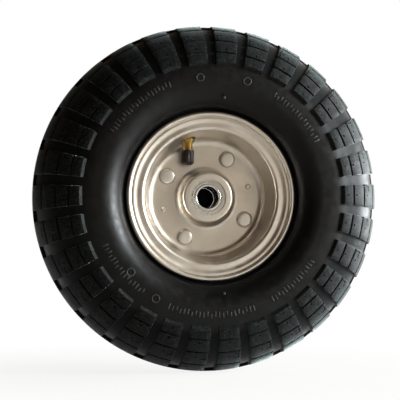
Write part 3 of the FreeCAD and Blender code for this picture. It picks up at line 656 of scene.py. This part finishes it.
@dataclass
class Rim:
    """Two pressed halves, back to back, with four rivets. All sizes in millimetres."""

    sheet: float = 1.6
    hub_hole: float = 13.7
    hub_radius: float = 17.5
    hub_top: float = 12.0
    hub_top_bend: float = 2.2
    hub_foot_bend: float = 5.2
    disc: tuple[float, float] = (25.0, 35.0)
    wall_foot: float = 44.0
    wall_foot_bend: float = 6.0
    wall_top: float = 49.2
    flange_face: float = 27.2
    ridge_bend: float = 2.4
    valley: float = 54.4
    valley_depth: float = 0.7
    valley_bend: float = 4.0
    shoulder_width: float = 1.8
    shoulder_rise: float = 0.3
    shoulder_bend: float = 2.4
    crease_depth: float = 0.1
    crease_bend: float = 0.4
    lip_radius: float = 62.5
    lip_width: float = 3.6
    lip_face: float = 30.0
    lip_bend: float = 1.75
    lip_leg: float = 2.4
    rivet_circle: float = 33.5
    rivet_angles: tuple[float, ...] = (61.3, 151.3, 241.3, 331.3)
    rivet_head: float = 5.25
    rivet_height: float = 1.9
    rivet_edge: float = 0.8
    stake_radius: float = 6.6
    stake_depth: float = 0.45
    cut_above: float = 0.4
    shank: float = 3.0
    dowel_angle: float = 15.7
    dowel_radius: float = 1.8
    dowel_hole: float = 2.0
    dowel_ends: tuple[float, float] = (-0.05, 0.95)
    bowl: tuple[float, float] = (0.9, 2.8)
    bowl_height: float = 1.8
    valve_hole: float = 5.8
    valve_hole_foot: float = 30.0
    steps: int = 240

    @property
    def lip_inner(self) -> float:
        """Radius of the crease at the rolled lip."""
        return self.lip_radius - self.lip_width

    def half(self, side: Side) -> None:
        """One pressed half.

        Args:
            side: which half.
        """
        sign, sheet, flange = side.value, self.sheet, self.flange_face
        line = [
            Corner(self.hub_hole, self.hub_top + sheet),
            Corner(self.hub_radius + sheet, self.hub_top + sheet, self.hub_top_bend, 8),
            Corner(self.hub_radius + sheet, sheet, self.hub_foot_bend, 12),
            Corner(self.wall_foot, sheet, self.wall_foot_bend, 12),
            Corner(self.wall_top, flange, self.ridge_bend, 8),
            Corner(self.valley, flange - self.valley_depth, self.valley_bend, 6),
            Corner(self.lip_inner - self.shoulder_width, flange + self.shoulder_rise,
                   self.shoulder_bend, 4),
            Corner(self.lip_inner, flange - self.crease_depth, self.crease_bend, 5),
            Corner(self.lip_inner, self.lip_face, self.lip_bend, 8),
            Corner(self.lip_radius, self.lip_face, self.lip_bend, 8),
            Corner(self.lip_radius, self.lip_face - self.lip_leg),
        ]
        mesh = lathe([corner.on(sign) for corner in line], self.steps)
        low, high = self.disc
        disc = next(face for face in mesh.faces
                    if low < face.calc_center_median().xz.length < high)
        if disc.normal.y * sign < 0:
            bmesh.ops.reverse_faces(mesh, faces=mesh.faces)
        bmesh.ops.solidify(mesh, geom=mesh.faces, thickness=sheet)
        face_out(mesh)
        mesh = carve(mesh, self.holes(side))
        dress(f"rim_{side.word}", mesh, Finish.ZINC, [f"rim_half_{side.word}"])

    def holes(self, side: Side) -> Mesh:
        """What is cut from a half: locating hole, dimple, rings round the rivets, valve's hole.

        Args:
            side: which half.

        Returns:
            The cutter, in millimetres.
        """
        sign, circle = side.value, self.rivet_circle
        hole_turn, dimple_turn = (self.dowel_angle, self.dowel_angle + 180)[::-sign]
        tool = bmesh.new()
        upright = Matrix.Rotation(radians(90), 4, "X")
        spot = Matrix.Translation(about_axis(hole_turn, circle, sign * self.sheet / 2))
        cone(tool, (self.dowel_hole, self.dowel_hole), self.sheet * 3, spot @ upright)
        spot = Matrix.Translation(about_axis(dimple_turn, circle, sign * self.sheet))
        cone(tool, self.bowl[::-sign], self.bowl_height, spot @ upright)
        inner, outer = self.rivet_head - 0.3, self.rivet_head + 0.5
        groove = [Corner(inner, self.cut_above), Corner(inner, -self.stake_depth, 0.1, 2),
                  Corner(outer, -self.stake_depth, 0.3, 3),
                  Corner(self.stake_radius, self.cut_above)]
        for degrees in self.rivet_angles:
            ring = lathe([corner.on(sign) for corner in groove], 48, closed=True)
            shift(ring, about_axis(degrees, circle, sign * self.sheet))
            join(tool, ring)
        if side is Side.FRONT:
            height = self.lip_radius - self.valve_hole_foot
            way = Matrix.Translation((*VALVE_PLACE, self.valve_hole_foot + height / 2))
            cone(tool, (self.valve_hole, self.valve_hole), height, way, segments=64)
        return tool

    def pip(self, side: Side) -> None:
        """The half-sheared pip of one half, which sits in the other half's hole.

        Args:
            side: which half.
        """
        foot, top = self.dowel_ends
        line = [Corner(0, foot), Corner(self.dowel_radius, foot),
                Corner(self.dowel_radius, top, 0.35, 4), Corner(0, top)]
        mesh = lathe([corner.on(-side.value) for corner in line], 32)
        degrees = self.dowel_angle + (180 if side is Side.FRONT else 0)
        shift(mesh, about_axis(degrees, self.rivet_circle, 0))
        dress(f"rim_{side.word}_pip", mesh, Finish.ZINC)

    def rivet(self, number: int, degrees: float) -> None:
        """A rivet with a flat, slightly crowned head on both sides.

        Args:
            number: its number, from 1.
            degrees: its angle about the wheel's axis.
        """
        face, own_turn = self.sheet + self.rivet_height, 37.0
        half = [
            Corner(0, face), Corner(self.rivet_head * 0.55, face - 0.05, 3.0, 3),
            Corner(self.rivet_head, face - 0.25, self.rivet_edge, 6),
            Corner(self.rivet_head, self.sheet), Corner(self.shank, self.sheet),
        ]
        mesh = lathe(half + mirrored(half), 48)
        rotate(mesh, number * own_turn)
        shift(mesh, about_axis(degrees, self.rivet_circle, 0))
        dress(f"rivet_{number}_head", mesh, Finish.RIVET, [f"rivet_{number}"])

    def build(self) -> None:
        """Both halves with their pips, and the rivets."""
        for side in Side:
            self.half(side)
            self.pip(side)
        for number, degrees in enumerate(self.rivet_angles, start=1):
            self.rivet(number, degrees)


# Tyre


@dataclass
class Tyre:
    """Carcass, two rings of lugs and the small moulded marks. All sizes in millimetres.

    The tread's section is an arc about a centre line. Slots, vents and other places on it are
    angles from the mid-plane, and places on the sidewall are angles about the wheel's axis. A leg
    of the corner sipe has its angle before the second slot, its share of half the lug's turn, and
    its sizes.
    """

    radius: float = 130.0
    arc: float = 45.0
    wall: float = 4.6
    crown: float = 6.5
    toe: float = 16.5
    shoulder: float = 68.0
    shoulder_bend: float = 18.5
    lug_height: float = 2.8
    lug_count: int = 30
    lug_share: float = 0.68
    lug_centre: float = 0.6
    kink: float = 11.5
    slots: tuple[float, ...] = (30.0, 49.0, 63.5)
    lug_end: float = 74.0
    lug_foot: float = 77.0
    vents: tuple[tuple[float, float], ...] = ((60.0, 0.85), (42.0, 0.75), (70.5, 0.6))
    vent_length: float = 3.0
    sipe_depth: float = 2.4
    sipes: tuple[tuple[float, ...], ...] = ((5.0, 0.80, 8.0, 0.7), (9.5, 0.62, 0.7, 4.4))
    band_radius: float = 86.5
    band_arcs: tuple[tuple[float, float], ...] = (
        (28, 62), (112, 150), (205, 236), (248, 292), (300, 330))
    band_step: float = 1.9
    tick: tuple[float, float, float] = (4.6, 0.5, 0.9)
    tick_edge: float = 0.15
    stamps: tuple[tuple[float, float], ...] = (
        (96.7, 86.2), (73.5, 87.0), (222.8, 82.0), (240.5, 85.8))
    nubs: tuple[float, ...] = (84.0, 276.0)
    nub_circle: float = 71.5
    slot_width: float = 1.4
    slot_depth: float = 1.9
    lug_root: float = 1.0
    edge: float = 0.35
    bead_fit: float = 0.1
    rim: Rim = field(default_factory=Rim)

    @property
    def centre(self) -> float:
        """Radius of the tread arc's centre line."""
        return self.radius - self.arc

    def seat(self, across: float) -> float:
        """Where the bead sits on the rim.

        Args:
            across: distance from the mid-plane, mm.

        Returns:
            The radius there, mm.
        """
        rim = self.rim
        slope = (rim.wall_top - rim.wall_foot) / (rim.flange_face - rim.sheet)
        skin = rim.sheet * hypot(1, slope)
        return rim.wall_foot + slope * (across - rim.sheet) + skin + self.bead_fit

    def behind_flange(self, depth: float) -> float:
        """Distance of the bead's side from the mid-plane, under a groove of the flange."""
        return self.rim.flange_face - depth - self.rim.sheet - self.bead_fit

    def carcass(self) -> None:
        """The closed carcass, with its beads and its shoulders beside the rim."""
        rim, toe, floor = self.rim, self.toe, self.arc - self.lug_height
        side, crown = floor - self.wall, self.radius - self.lug_height
        flange = self.behind_flange(rim.valley_depth)
        half = [
            Corner(crown - self.crown, side, floor - 6.6, 16),
            Corner(71.0, side, 13.0, 6),
            Corner(self.seat(toe) + 11, toe + 1.5, 3.0, 3),
            Corner(self.seat(toe), toe, 1.0, 2),
            Corner(self.seat(flange), flange, 3.0, 4),
            Corner(rim.valley, flange),
            Corner(rim.lip_inner, self.behind_flange(rim.crease_depth)),
            Corner(rim.lip_radius + 1.5, rim.lip_face - 3.4, 1.5, 5),
            Corner(self.shoulder, floor, self.shoulder_bend, 24),
            Corner(crown, floor, floor - 0.15, 40),
        ]
        mesh = lathe(half + mirrored(half), 248, closed=True)
        dress("tyre_carcass", mesh, Finish.TYRE, ["tyre"])

    def on_arc(self, reach: float, degrees: float, side: Side) -> Vector:
        """A point of the tread's section, at a reach and an angle from the arc's centre line."""
        angle = radians(side.value * degrees)
        return Vector((self.centre + reach * cos(angle), reach * sin(angle), 0))

    def out_of_arc(self, degrees: float, side: Side) -> Matrix:
        """Place and lean at an angle of the tread; its X points out of the rubber."""
        lean = Matrix.Rotation(radians(side.value * degrees), 4, "Z")
        return Matrix.Translation(self.on_arc(self.arc, degrees, side)) @ lean

    def reach(self, point: Vector) -> float:
        """Distance of a point from the tread arc's centre line."""
        return hypot(point.xz.length - self.centre, point.y)

    def lugs(self, side: Side) -> None:
        """A ring of lugs, each in ribs parted by slots, with rubbed edges.

        Args:
            side: which half of the tread.
        """
        half_slot = self.slot_width / 2 / self.arc / radians(1)
        top, floor = self.arc, self.arc - self.slot_depth
        ground = self.arc - self.lug_height
        foot = ground - self.lug_root
        line: list[tuple[float, float]] = [(top, 0.0), (top, self.kink)]
        for slot in self.slots:
            start, end = slot - half_slot, slot + half_slot
            line += [(top, start), (floor, start), (floor, end), (top, end)]
        line += [(top, self.lug_end), (foot, self.lug_foot)]
        line += [(foot, slot) for slot in (*reversed(self.slots), self.kink, 0.0)]
        mesh = bmesh.new()
        mesh.faces.new([mesh.verts.new(self.on_arc(*spot, side)) for spot in line])
        pitch = 360 / self.lug_count
        span = pitch * self.lug_share
        spin(mesh, radians(span), 4)
        face_out(mesh)
        sharp, near = radians(40), ground + 0.3
        edges = [edge for edge in mesh.edges
                 if edge.is_manifold and edge.calc_face_angle(0) > sharp
                 and min(self.reach(vert.co) for vert in edge.verts) > near]
        round_edges(mesh, edges, self.edge)
        rotate(mesh, -span / 2)
        mesh = carve(mesh, self.lug_cuts(side, span / 2), crossing=True)
        centre = self.lug_centre + (0 if side is Side.FRONT else pitch / 2)
        rotate(mesh, -centre)
        others = self.lug_count - 1
        spin(mesh, FULL_TURN * others / self.lug_count, others, copies=True)
        dress(f"tyre_lugs_{side.word}", mesh, Finish.TREAD)

    def lug_cuts(self, side: Side, half_turn: float) -> Mesh:
        """The vents and the corner sipe of one lug, which lies about +X.

        Args:
            side: which half of the tread.
            half_turn: half of the lug's angle about the wheel's axis, degrees.

        Returns:
            The cutter, in millimetres.
        """
        tool = bmesh.new()
        upright = Matrix.Rotation(radians(90), 4, "Y")
        for angle, radius in self.vents:
            place = self.out_of_arc(angle, side) @ upright
            cone(tool, (radius, radius), self.vent_length, place, segments=12)
        for before, share, *size in self.sipes:
            swing = Matrix.Rotation(-radians(half_turn * share), 4, "Y")
            place = swing @ self.out_of_arc(self.slots[1] - before, side)
            block(tool, (self.sipe_depth, *size), place)
        return tool

    def on_wall(self, degrees: float, radius: float, side: Side) -> Matrix:
        """Place and lean of a small mark on the sidewall.

        Args:
            degrees: its angle about the wheel's axis.
            radius: its distance from that axis, mm.
            side: which sidewall.

        Returns:
            A matrix whose X runs outwards along the wall and whose Y stands off it.
        """
        floor = self.arc - self.lug_height
        lean = asin(max(0.0, radius - self.centre) / floor)
        swing = Matrix.Rotation(-radians(degrees), 4, "Y")
        place = Matrix.Translation((radius, side.value * floor * cos(lean), 0))
        flip = Matrix.Diagonal((1, side.value, 1, 1))
        return swing @ place @ flip @ Matrix.Rotation(-lean, 4, "Z")

    def bands(self, side: Side) -> None:
        """Bands of short raised ribs on the sidewall, of uneven length, with rounded edges.

        Args:
            side: which sidewall.
        """
        uneven, phase = 0.35, 2.4
        mesh = bmesh.new()
        for start, end in self.band_arcs:
            for index in range(int((end - start) / self.band_step)):
                rise = uneven * sin(index * phase) * self.tick[0] / 2
                degrees = start + index * self.band_step
                size = (self.tick[0] - 2 * abs(rise), *self.tick[1:])
                block(mesh, size, self.on_wall(degrees, self.band_radius + rise, side))
        face_out(mesh)
        round_edges(mesh, mesh.edges, self.tick_edge)
        dress(f"tyre_bands_{side.word}", mesh, Finish.MARK)

    def small_marks(self, side: Side) -> None:
        """Round stamps in the sidewall's band, and two nubs beside the rim.

        Args:
            side: which sidewall.
        """
        stamp = [Corner(2.3, -0.3), Corner(2.3, 0.35, 0.2, 3), Corner(3.1, 0.35, 0.2, 3),
                 Corner(3.1, -0.3)]
        nub = [Corner(0, 0.9), Corner(1.0, 0.9, 0.5, 4), Corner(1.2, -0.5), Corner(0, -0.5)]
        marks = [(place, stamp) for place in self.stamps]
        marks += [((degrees, self.nub_circle), nub) for degrees in self.nubs]
        mesh = bmesh.new()
        for place, line in marks:
            ring = lathe(line, 32, closed=line is stamp)
            bmesh.ops.transform(ring, matrix=self.on_wall(*place, side), verts=ring.verts)
            face_out(ring)
            join(mesh, ring)
        dress(f"tyre_marks_{side.word}", mesh, Finish.MARK)

    def build(self) -> None:
        """The carcass, its lugs and its small marks."""
        self.carcass()
        for side in Side:
            self.lugs(side)
            self.bands(side)
            self.small_marks(side)


# Bearings


@dataclass
class Bearing:
    """A shielded ball bearing on one side. All sizes in millimetres."""

    side: Side
    bore: float = 8.0
    radius: float = 17.5
    width: float = 11.0
    centre: float = 6.5
    edge: float = 0.7
    inner_land: float = 10.9
    inner_recess: float = 10.0
    outer_land: float = 14.6
    shield_seat: float = 15.4
    shield_depth: float = 1.2
    shield_sheet: float = 0.35
    shield_gap: float = 0.35
    shield_rim: float = 0.8
    shield_bead: float = 0.22
    pitch: float = 12.75
    track: float = 3.015
    track_steps: int = 12
    steps: int = 96

    def ring(self, name: str, corners: Sequence[Corner], finish: Finish,
             body: str = "wheel") -> None:
        """A turned ring at the bearing's place.

        Args:
            name: the piece's name, which is also that of its CAD node, without the bearing's.
            corners: its closed section about the bearing's own centre.
            finish: its finish.
            body: the CAD body that it rides on.
        """
        mesh = lathe(corners, self.steps, closed=True)
        shift(mesh, Vector((0, self.side.value * self.centre, 0)))
        word = self.side.word
        dress(f"{word}_{name}", mesh, finish, [f"bearing_{word}_{name}"], body)

    def race(self, land: float, recess: float, wall: float, inside: bool) -> list[Corner]:
        """A race's section, with its ball track.

        Args:
            land: radius beside the track.
            recess: radius of the step that the shield meets.
            wall: radius of the plain side, the bore or the outside.
            inside: whether it is the inner race.

        Returns:
            The closed section.
        """
        half, step = self.width / 2, self.width / 2 - self.shield_depth
        angle = acos(abs(land - self.pitch) / self.track)
        sign = -1 if inside else 1
        middle = self.track_steps / 2
        swing = [angle * (1 - share / middle) for share in range(self.track_steps + 1)]
        track = [Corner(self.pitch + sign * self.track * cos(a), self.track * sin(a))
                 for a in swing]
        near = [Corner(wall, half, self.edge, 5),
                Corner(recess, half, self.edge / 2 if inside else 0.15, 3),
                Corner(recess, step), Corner(land, step)]
        return near + track + mirrored(near)

    def shield(self, face: int) -> list[Corner]:
        """A pressed shield's section: a dished sheet with a turned rim.

        Args:
            face: which side of the bearing, as the sign of Y.

        Returns:
            The closed section.
        """
        plate = self.width / 2 - self.shield_depth
        inside, seat = self.inner_recess + self.shield_gap, self.shield_seat
        bore, back = seat - self.shield_sheet, plate + self.shield_sheet
        rim = plate + self.shield_rim
        bead = back + self.shield_bead
        line = [
            Corner(inside, plate, 0.08, 2), Corner(inside + 0.9, plate, 0.3, 3),
            Corner(inside + 1.4, plate, 0.3, 3), Corner(seat, plate, 0.1, 2),
            Corner(seat, rim, 0.12, 2), Corner(bore, rim, 0.12, 2), Corner(bore, back, 0.2, 3),
            Corner(inside + 1.5, back, 0.3, 3), Corner(inside + 1.0, bead, 0.2, 3),
            Corner(inside, bead, 0.15, 3),
        ]
        return [corner.on(face) for corner in line]

    def build(self) -> None:
        """The two races and the two shields."""
        self.ring("inner_race", self.race(self.inner_land, self.inner_recess, self.bore, True),
                  Finish.RACE, "axle_side")
        self.ring("outer_race", self.race(self.outer_land, self.shield_seat, self.radius, False),
                  Finish.RACE)
        for name, face in (("outer_shield", self.side.value), ("inner_shield", -self.side.value)):
            self.ring(name, self.shield(face), Finish.SHIELD)


# Valve


@dataclass
class Valve:
    """Stem with its thread, nut, ribbed cap and spring, on one upright axis, in millimetres.

    A piece is made about Y and then stood up, so a corner's across is its height.
    """

    stem: float = 3.85
    tip: float = 27.9
    foot: float = 51.2
    foot_radius: float = 5.6
    foot_sheet: float = 1.2
    air_way: float = 1.9
    core_bore: float = 2.55
    core_depth: float = 6.0
    pitch: float = 0.794
    thread_depth: float = 0.38
    thread_top: float = 45.5
    thread_share: float = 0.42
    thread_steps: int = 28
    nut_flats: float = 9.0
    nut_height: float = 3.0
    nut_foot: float = 41.4
    nut_edge: float = 0.22
    cap: float = 4.75
    cap_low: float = 24.2
    cap_length: float = 11.0
    cap_depth: float = 8.6
    cap_fit: float = 0.09
    cap_round: float = 2.4
    flutes: int = 18
    flute_steps: int = 6
    flute_depth: float = 0.16
    flute_fade: float = 1.5
    wire: float = 0.1
    coil: float = 0.8
    coil_turns: int = 4
    coil_steps: int = 24
    stroke: float = 1.2

    def stand(self, name: str, mesh: Mesh, finish: Finish, replaced: Sequence[str] = (),
              body: str = "wheel") -> Object:
        """Stand a mesh up at the valve's place and dress it.

        Args:
            name: the piece's name.
            mesh: its mesh about Y, which is freed.
            finish: its finish.
            replaced: CAD nodes that it stands for.
            body: the CAD body that it rides on.

        Returns:
            The object.
        """
        rotate(mesh, 90, "X")
        shift(mesh, Vector((*VALVE_PLACE, 0)))
        return dress(name, mesh, finish, replaced, body)

    def build_stem(self) -> None:
        """The stem, with a rolled thread that runs up from its open end."""
        core, root, top = self.core_bore, self.stem - self.thread_depth, self.thread_top
        mesh = lathe([
            Corner(core, self.tip, 0.15, 2), Corner(root, self.tip, 0.35, 3),
            Corner(root, top, 0.2, 2), Corner(self.stem, top + 0.4, 0.2, 2),
            Corner(self.stem, self.foot), Corner(self.foot_radius, self.foot),
            Corner(self.foot_radius, self.foot + self.foot_sheet, 0.4, 3),
            Corner(self.air_way, self.foot + self.foot_sheet),
            Corner(self.air_way, self.tip + self.core_depth + 1),
            Corner(core, self.tip + self.core_depth),
        ], 48, closed=True)
        self.stand("stem", mesh, Finish.BRASS, ["valve_stem"])
        half, low, sunk = self.pitch * self.thread_share, self.tip + 0.5, root - 0.05
        mesh = draw([Corner(sunk, low - half), Corner(self.stem, low, 0.05, 2),
                     Corner(sunk, low + half)], closed=True)
        steps = int((top - low) / self.pitch * self.thread_steps)
        coil(mesh, steps, self.thread_steps, self.pitch / self.thread_steps)
        self.stand("stem_thread", mesh, Finish.BRASS)

    def build_nut(self) -> None:
        """The hexagon nut, with turned-off corners."""
        low, high, bore = self.nut_foot, self.nut_foot + self.nut_height, self.stem + 0.1
        across = self.nut_flats / 2 / cos(radians(30))
        mesh = lathe([Corner(bore, low, 0.3, 1), Corner(across, low), Corner(across, high),
                      Corner(bore, high, 0.3, 1)], 6, closed=True)
        outer = {vert for vert in mesh.verts if vert.co.xz.length > across - 0.1}
        round_edges(mesh, [edge for edge in mesh.edges if outer.issuperset(edge.verts)],
                    self.nut_edge)
        self.stand("nut", mesh, Finish.BRASS, ["valve_nut"])

    def build_cap(self) -> None:
        """The cap: a turned shell whose outside is drawn in at each flute."""
        low, top, bore = self.cap_low, self.cap_low + self.cap_length, self.stem + self.cap_fit
        floor = top - self.cap_depth
        mesh = lathe([
            Corner(0, low), Corner(self.cap * 0.5, low, 0.6, 2),
            Corner(self.cap, low + 1.2, self.cap_round, 6), Corner(self.cap, low + 4.0),
            Corner(self.cap, low + 7.0), Corner(self.cap, top - 1.3), Corner(self.cap, top - 0.9),
            Corner(self.cap, top, 0.3, 3), Corner(bore, top, 0.3, 2), Corner(bore, floor),
            Corner(0, floor),
        ], self.flutes * self.flute_steps)
        inner = self.cap - self.flute_fade
        for vert in mesh.verts:
            radius = vert.co.xz.length
            if radius < inner or vert.co.y > top - 1.0 or vert.co.y < low + 0.3:
                continue
            wave = 1 + cos(atan2(vert.co.z, vert.co.x) * self.flutes)
            depth = self.flute_depth * wave * min(1.0, (radius - inner) / self.flute_fade)
            vert.co.x *= 1 - depth / radius
            vert.co.z *= 1 - depth / radius
        self.stand("cap", mesh, Finish.CAP, ["valve_cap"], "cap")

    def build_spring(self) -> None:
        """The pin's spring: a coil over the height of its CAD node, with a mesh of its own."""
        low, high = (corner[2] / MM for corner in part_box("valve_spring"))
        mesh = bmesh.new()
        bmesh.ops.create_circle(mesh, cap_ends=False, segments=8, radius=self.wire)
        shift(mesh, Vector((self.coil, low + self.wire, 0)))
        steps = self.coil_turns * self.coil_steps
        coil(mesh, steps, self.coil_steps, (high - low - 2 * self.wire) / steps)
        spring = self.stand("spring", mesh, Finish.RACE, ["valve_spring"])
        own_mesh(spring)

    def build(self) -> None:
        """The valve's stem, nut, cap and spring."""
        self.build_stem()
        self.build_nut()
        self.build_cap()
        self.build_spring()


# Stage


def aimed(name: str, data: bpy.types.ID, place: Vector) -> Object:
    """Put an object that looks at the wheel's centre in the scene.

    Args:
        name: its name.
        data: its camera or light.
        place: where it stands, in metres.

    Returns:
        The object.
    """
    item = bpy.data.objects.new(name, data)
    item.location = place
    item.rotation_euler = (-place).to_track_quat("-Z", "Y").to_euler()
    bpy.context.scene.collection.objects.link(item)
    return item


@dataclass(frozen=True)
class Lamp:
    """A soft round lamp aimed at the wheel."""

    name: str  # the lamp's name
    place: tuple[float, float, float]  # where it stands, in metres
    power: float  # watts
    size: float = 0.8  # its width in metres
    colour: tuple[float, float, float] = (0.93, 0.98, 1.0)  # its tint

    def build(self) -> None:
        """Hang the lamp."""
        data = bpy.data.lights.new(self.name, "AREA")
        data.shape = "DISK"
        data.size = self.size
        data.energy = self.power
        data.color = self.colour
        aimed(self.name, data, Vector(self.place))


@dataclass
class Studio:
    """Camera, light, floor, background and a card of painted shade behind the bore. All sizes in
    metres.
    """

    distance: float = 1.0
    swing: float = 8.36
    dip: float = 3.01
    focal_pixels: float = 1323.0
    picture: int = 400
    centre_pixel: tuple[float, float] = (205.46, 198.13)
    sensor: float = 36.0
    clip: tuple[float, float] = (0.05, 50.0)
    floor_height: float = -0.130
    floor_size: float = 4.0
    floor_dark: Colour = (0.50, 0.47, 0.43, 1)
    floor_pale: Colour = (0.54, 0.51, 0.47, 1)
    floor_fade: tuple[float, float] = (0.07, 0.40)
    floor_under: float = 0.86
    floor_behind: tuple[float, float] = (-0.15, 0.10)
    hood_radius: float = 2.4
    hood_edge: float = 1.5
    hood_bright: float = 0.75
    hood_dim: float = -0.35
    hood_slant: float = -0.6
    hood_dark: Colour = (0.05, 0.028, 0.016, 1)
    hood_pale: Colour = (0.84, 0.75, 0.62, 1)
    # a near-black card behind the bore: painted shade for the bore's dark inside
    shade_card_radius: float = 0.00795
    shade_card_place: float = 0.0115
    painted_shade_black: Colour = (0.004, 0.004, 0.004, 1)
    lamps: tuple[Lamp, ...] = (Lamp("window", (1.45, -0.55, 0.35), 72.0),
                               Lamp("behind_right", (1.35, 0.45, -0.02), 74.0))

    def camera(self) -> None:
        """A camera at the photograph's viewing angle."""
        swing, dip = radians(self.swing), radians(self.dip)
        place = Vector((-sin(swing) * cos(dip), -cos(swing) * cos(dip),
                        -sin(dip)))
        data = bpy.data.cameras.new("camera")
        data.sensor_width = self.sensor
        data.lens = data.sensor_width * self.focal_pixels / self.picture
        data.shift_x = (self.picture / 2 - self.centre_pixel[0]) / self.picture
        data.shift_y = (self.centre_pixel[1] - self.picture / 2) / self.picture
        data.clip_start, data.clip_end = self.clip
        bpy.context.scene.camera = aimed("camera", data, place * self.distance)

    def world(self) -> None:
        """Plain white all round, which is also the picture's background."""
        world = bpy.data.worlds.new("studio")
        bpy.context.scene.world = world
        world.use_nodes = True
        back = world.node_tree.nodes["Background"]
        back.inputs["Color"].default_value = (1, 1, 1, 1)
        back.inputs["Strength"].default_value = 1.0

    def hood(self) -> None:
        """A hood, dim on the left and above and below, that shades the metal; open to the right."""
        mesh = bmesh.new()
        bmesh.ops.create_uvsphere(mesh, u_segments=64, v_segments=32, radius=self.hood_radius)
        geometry = [*mesh.verts, *mesh.edges, *mesh.faces]
        bmesh.ops.bisect_plane(mesh, geom=geometry, plane_co=(self.hood_edge, 0, 0),
                               plane_no=(1, 0, 0), clear_outer=True)
        shader = Shader("hood_cloth")
        slant = shader.times(shader.math("ABSOLUTE", shader.part("Z")), self.hood_slant)
        share = shader.ramp(shader.plus(shader.part("X"), slant),
                            self.hood_dim * self.hood_radius, self.hood_bright)
        glow = shader.node("Emission", Color=shader.mix(share, self.hood_dark, self.hood_pale))
        shader.link(glow.outputs[0], shader.end)
        hood = to_object("hood", mesh, shader.material)
        hood.visible_camera = False

    def painted_bore_shade(self) -> None:
        """A dark card behind the bore, which paints the shade inside the bore black; its back is
        clear.
        """
        mesh = bmesh.new()
        bmesh.ops.create_circle(mesh, cap_ends=True, segments=48, radius=self.shade_card_radius)
        rotate(mesh, 90, "X")
        shift(mesh, Vector((0, self.shade_card_place, 0)))
        # this near-black is painted shade, standing in for the shade inside the bore
        shader = Shader("painted_shade_black")
        shader.set(Base_Color=self.painted_shade_black, Roughness=0.9, Specular_IOR_Level=0.1)
        behind = shader.node("NewGeometry").outputs["Backfacing"]
        shader.overlay(behind, shader.node("BsdfTransparent"))
        card = to_object("painted_bore_shade", mesh, shader.material)
        card.visible_shadow = False

    def floor(self) -> None:
        """A pale floor that looks near white under and behind the wheel and keeps its shadow."""
        mesh = bmesh.new()
        bmesh.ops.create_grid(mesh, x_segments=1, y_segments=1, size=self.floor_size)
        shift(mesh, Vector((0, 0, self.floor_height)))
        shader = Shader("floor_paint")
        grain = shader.ramp(shader.noise(Scale.FLOOR), 0.3, 0.7)
        shader.set(Base_Color=shader.mix(grain, self.floor_dark, self.floor_pale), Roughness=0.7)
        rays = shader.node("LightPath").outputs
        behind = shader.ramp(shader.part("Y"), *self.floor_behind)
        seen = shader.plus(rays["Is Camera Ray"], shader.times(rays["Is Glossy Ray"], behind))
        seen = shader.plus(seen, rays["Is Transmission Ray"], clamp=True)
        away = shader.ramp(shader.radius("XY"), *self.floor_fade, self.floor_under)
        shader.overlay(shader.times(seen, away), shader.node("Emission"))
        floor = to_object("floor", mesh, shader.material)

    def build(self) -> None:
        """The whole stage."""
        self.camera()
        self.world()
        self.hood()
        self.floor()
        # the card of painted shade behind the bore
        self.painted_bore_shade()
        for lamp in self.lamps:
            lamp.build()
        bpy.context.scene.view_settings.view_transform = "Standard"


CARRIED_OVER: dict[Finish, Sequence[str]] = {
    Finish.TUBE: ("inner_tube", "valve_base"),
    Finish.BORE: ("bearing_spacer",),
    Finish.BRASS: ("valve_core", "valve_pin"),
    Finish.SEAL: ("valve_core_seal",),
    Finish.CAP_RUBBER: ("valve_cup", "valve_cap_seal"),
    Finish.RACE: [f"bearing_{side.word}_balls" for side in Side],
    Finish.SHIELD: [f"bearing_{side.word}_cage" for side in Side],
}


def paint_nodes() -> None:
    """Give every CAD node that stays its finish."""
    for finish, nodes in CARRIED_OVER.items():
        for node in nodes:
            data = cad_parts[node].data
            data.materials.clear()
            data.materials.append(finish.material)


def main() -> None:
    """Build the wheel's looks."""
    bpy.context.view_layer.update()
    Studio().build()
    paint_nodes()
    Rim().build()
    Tyre().build()
    for side in Side:
        Bearing(side).build()
    Valve().build()


if __name__ == "__main__":
    main()
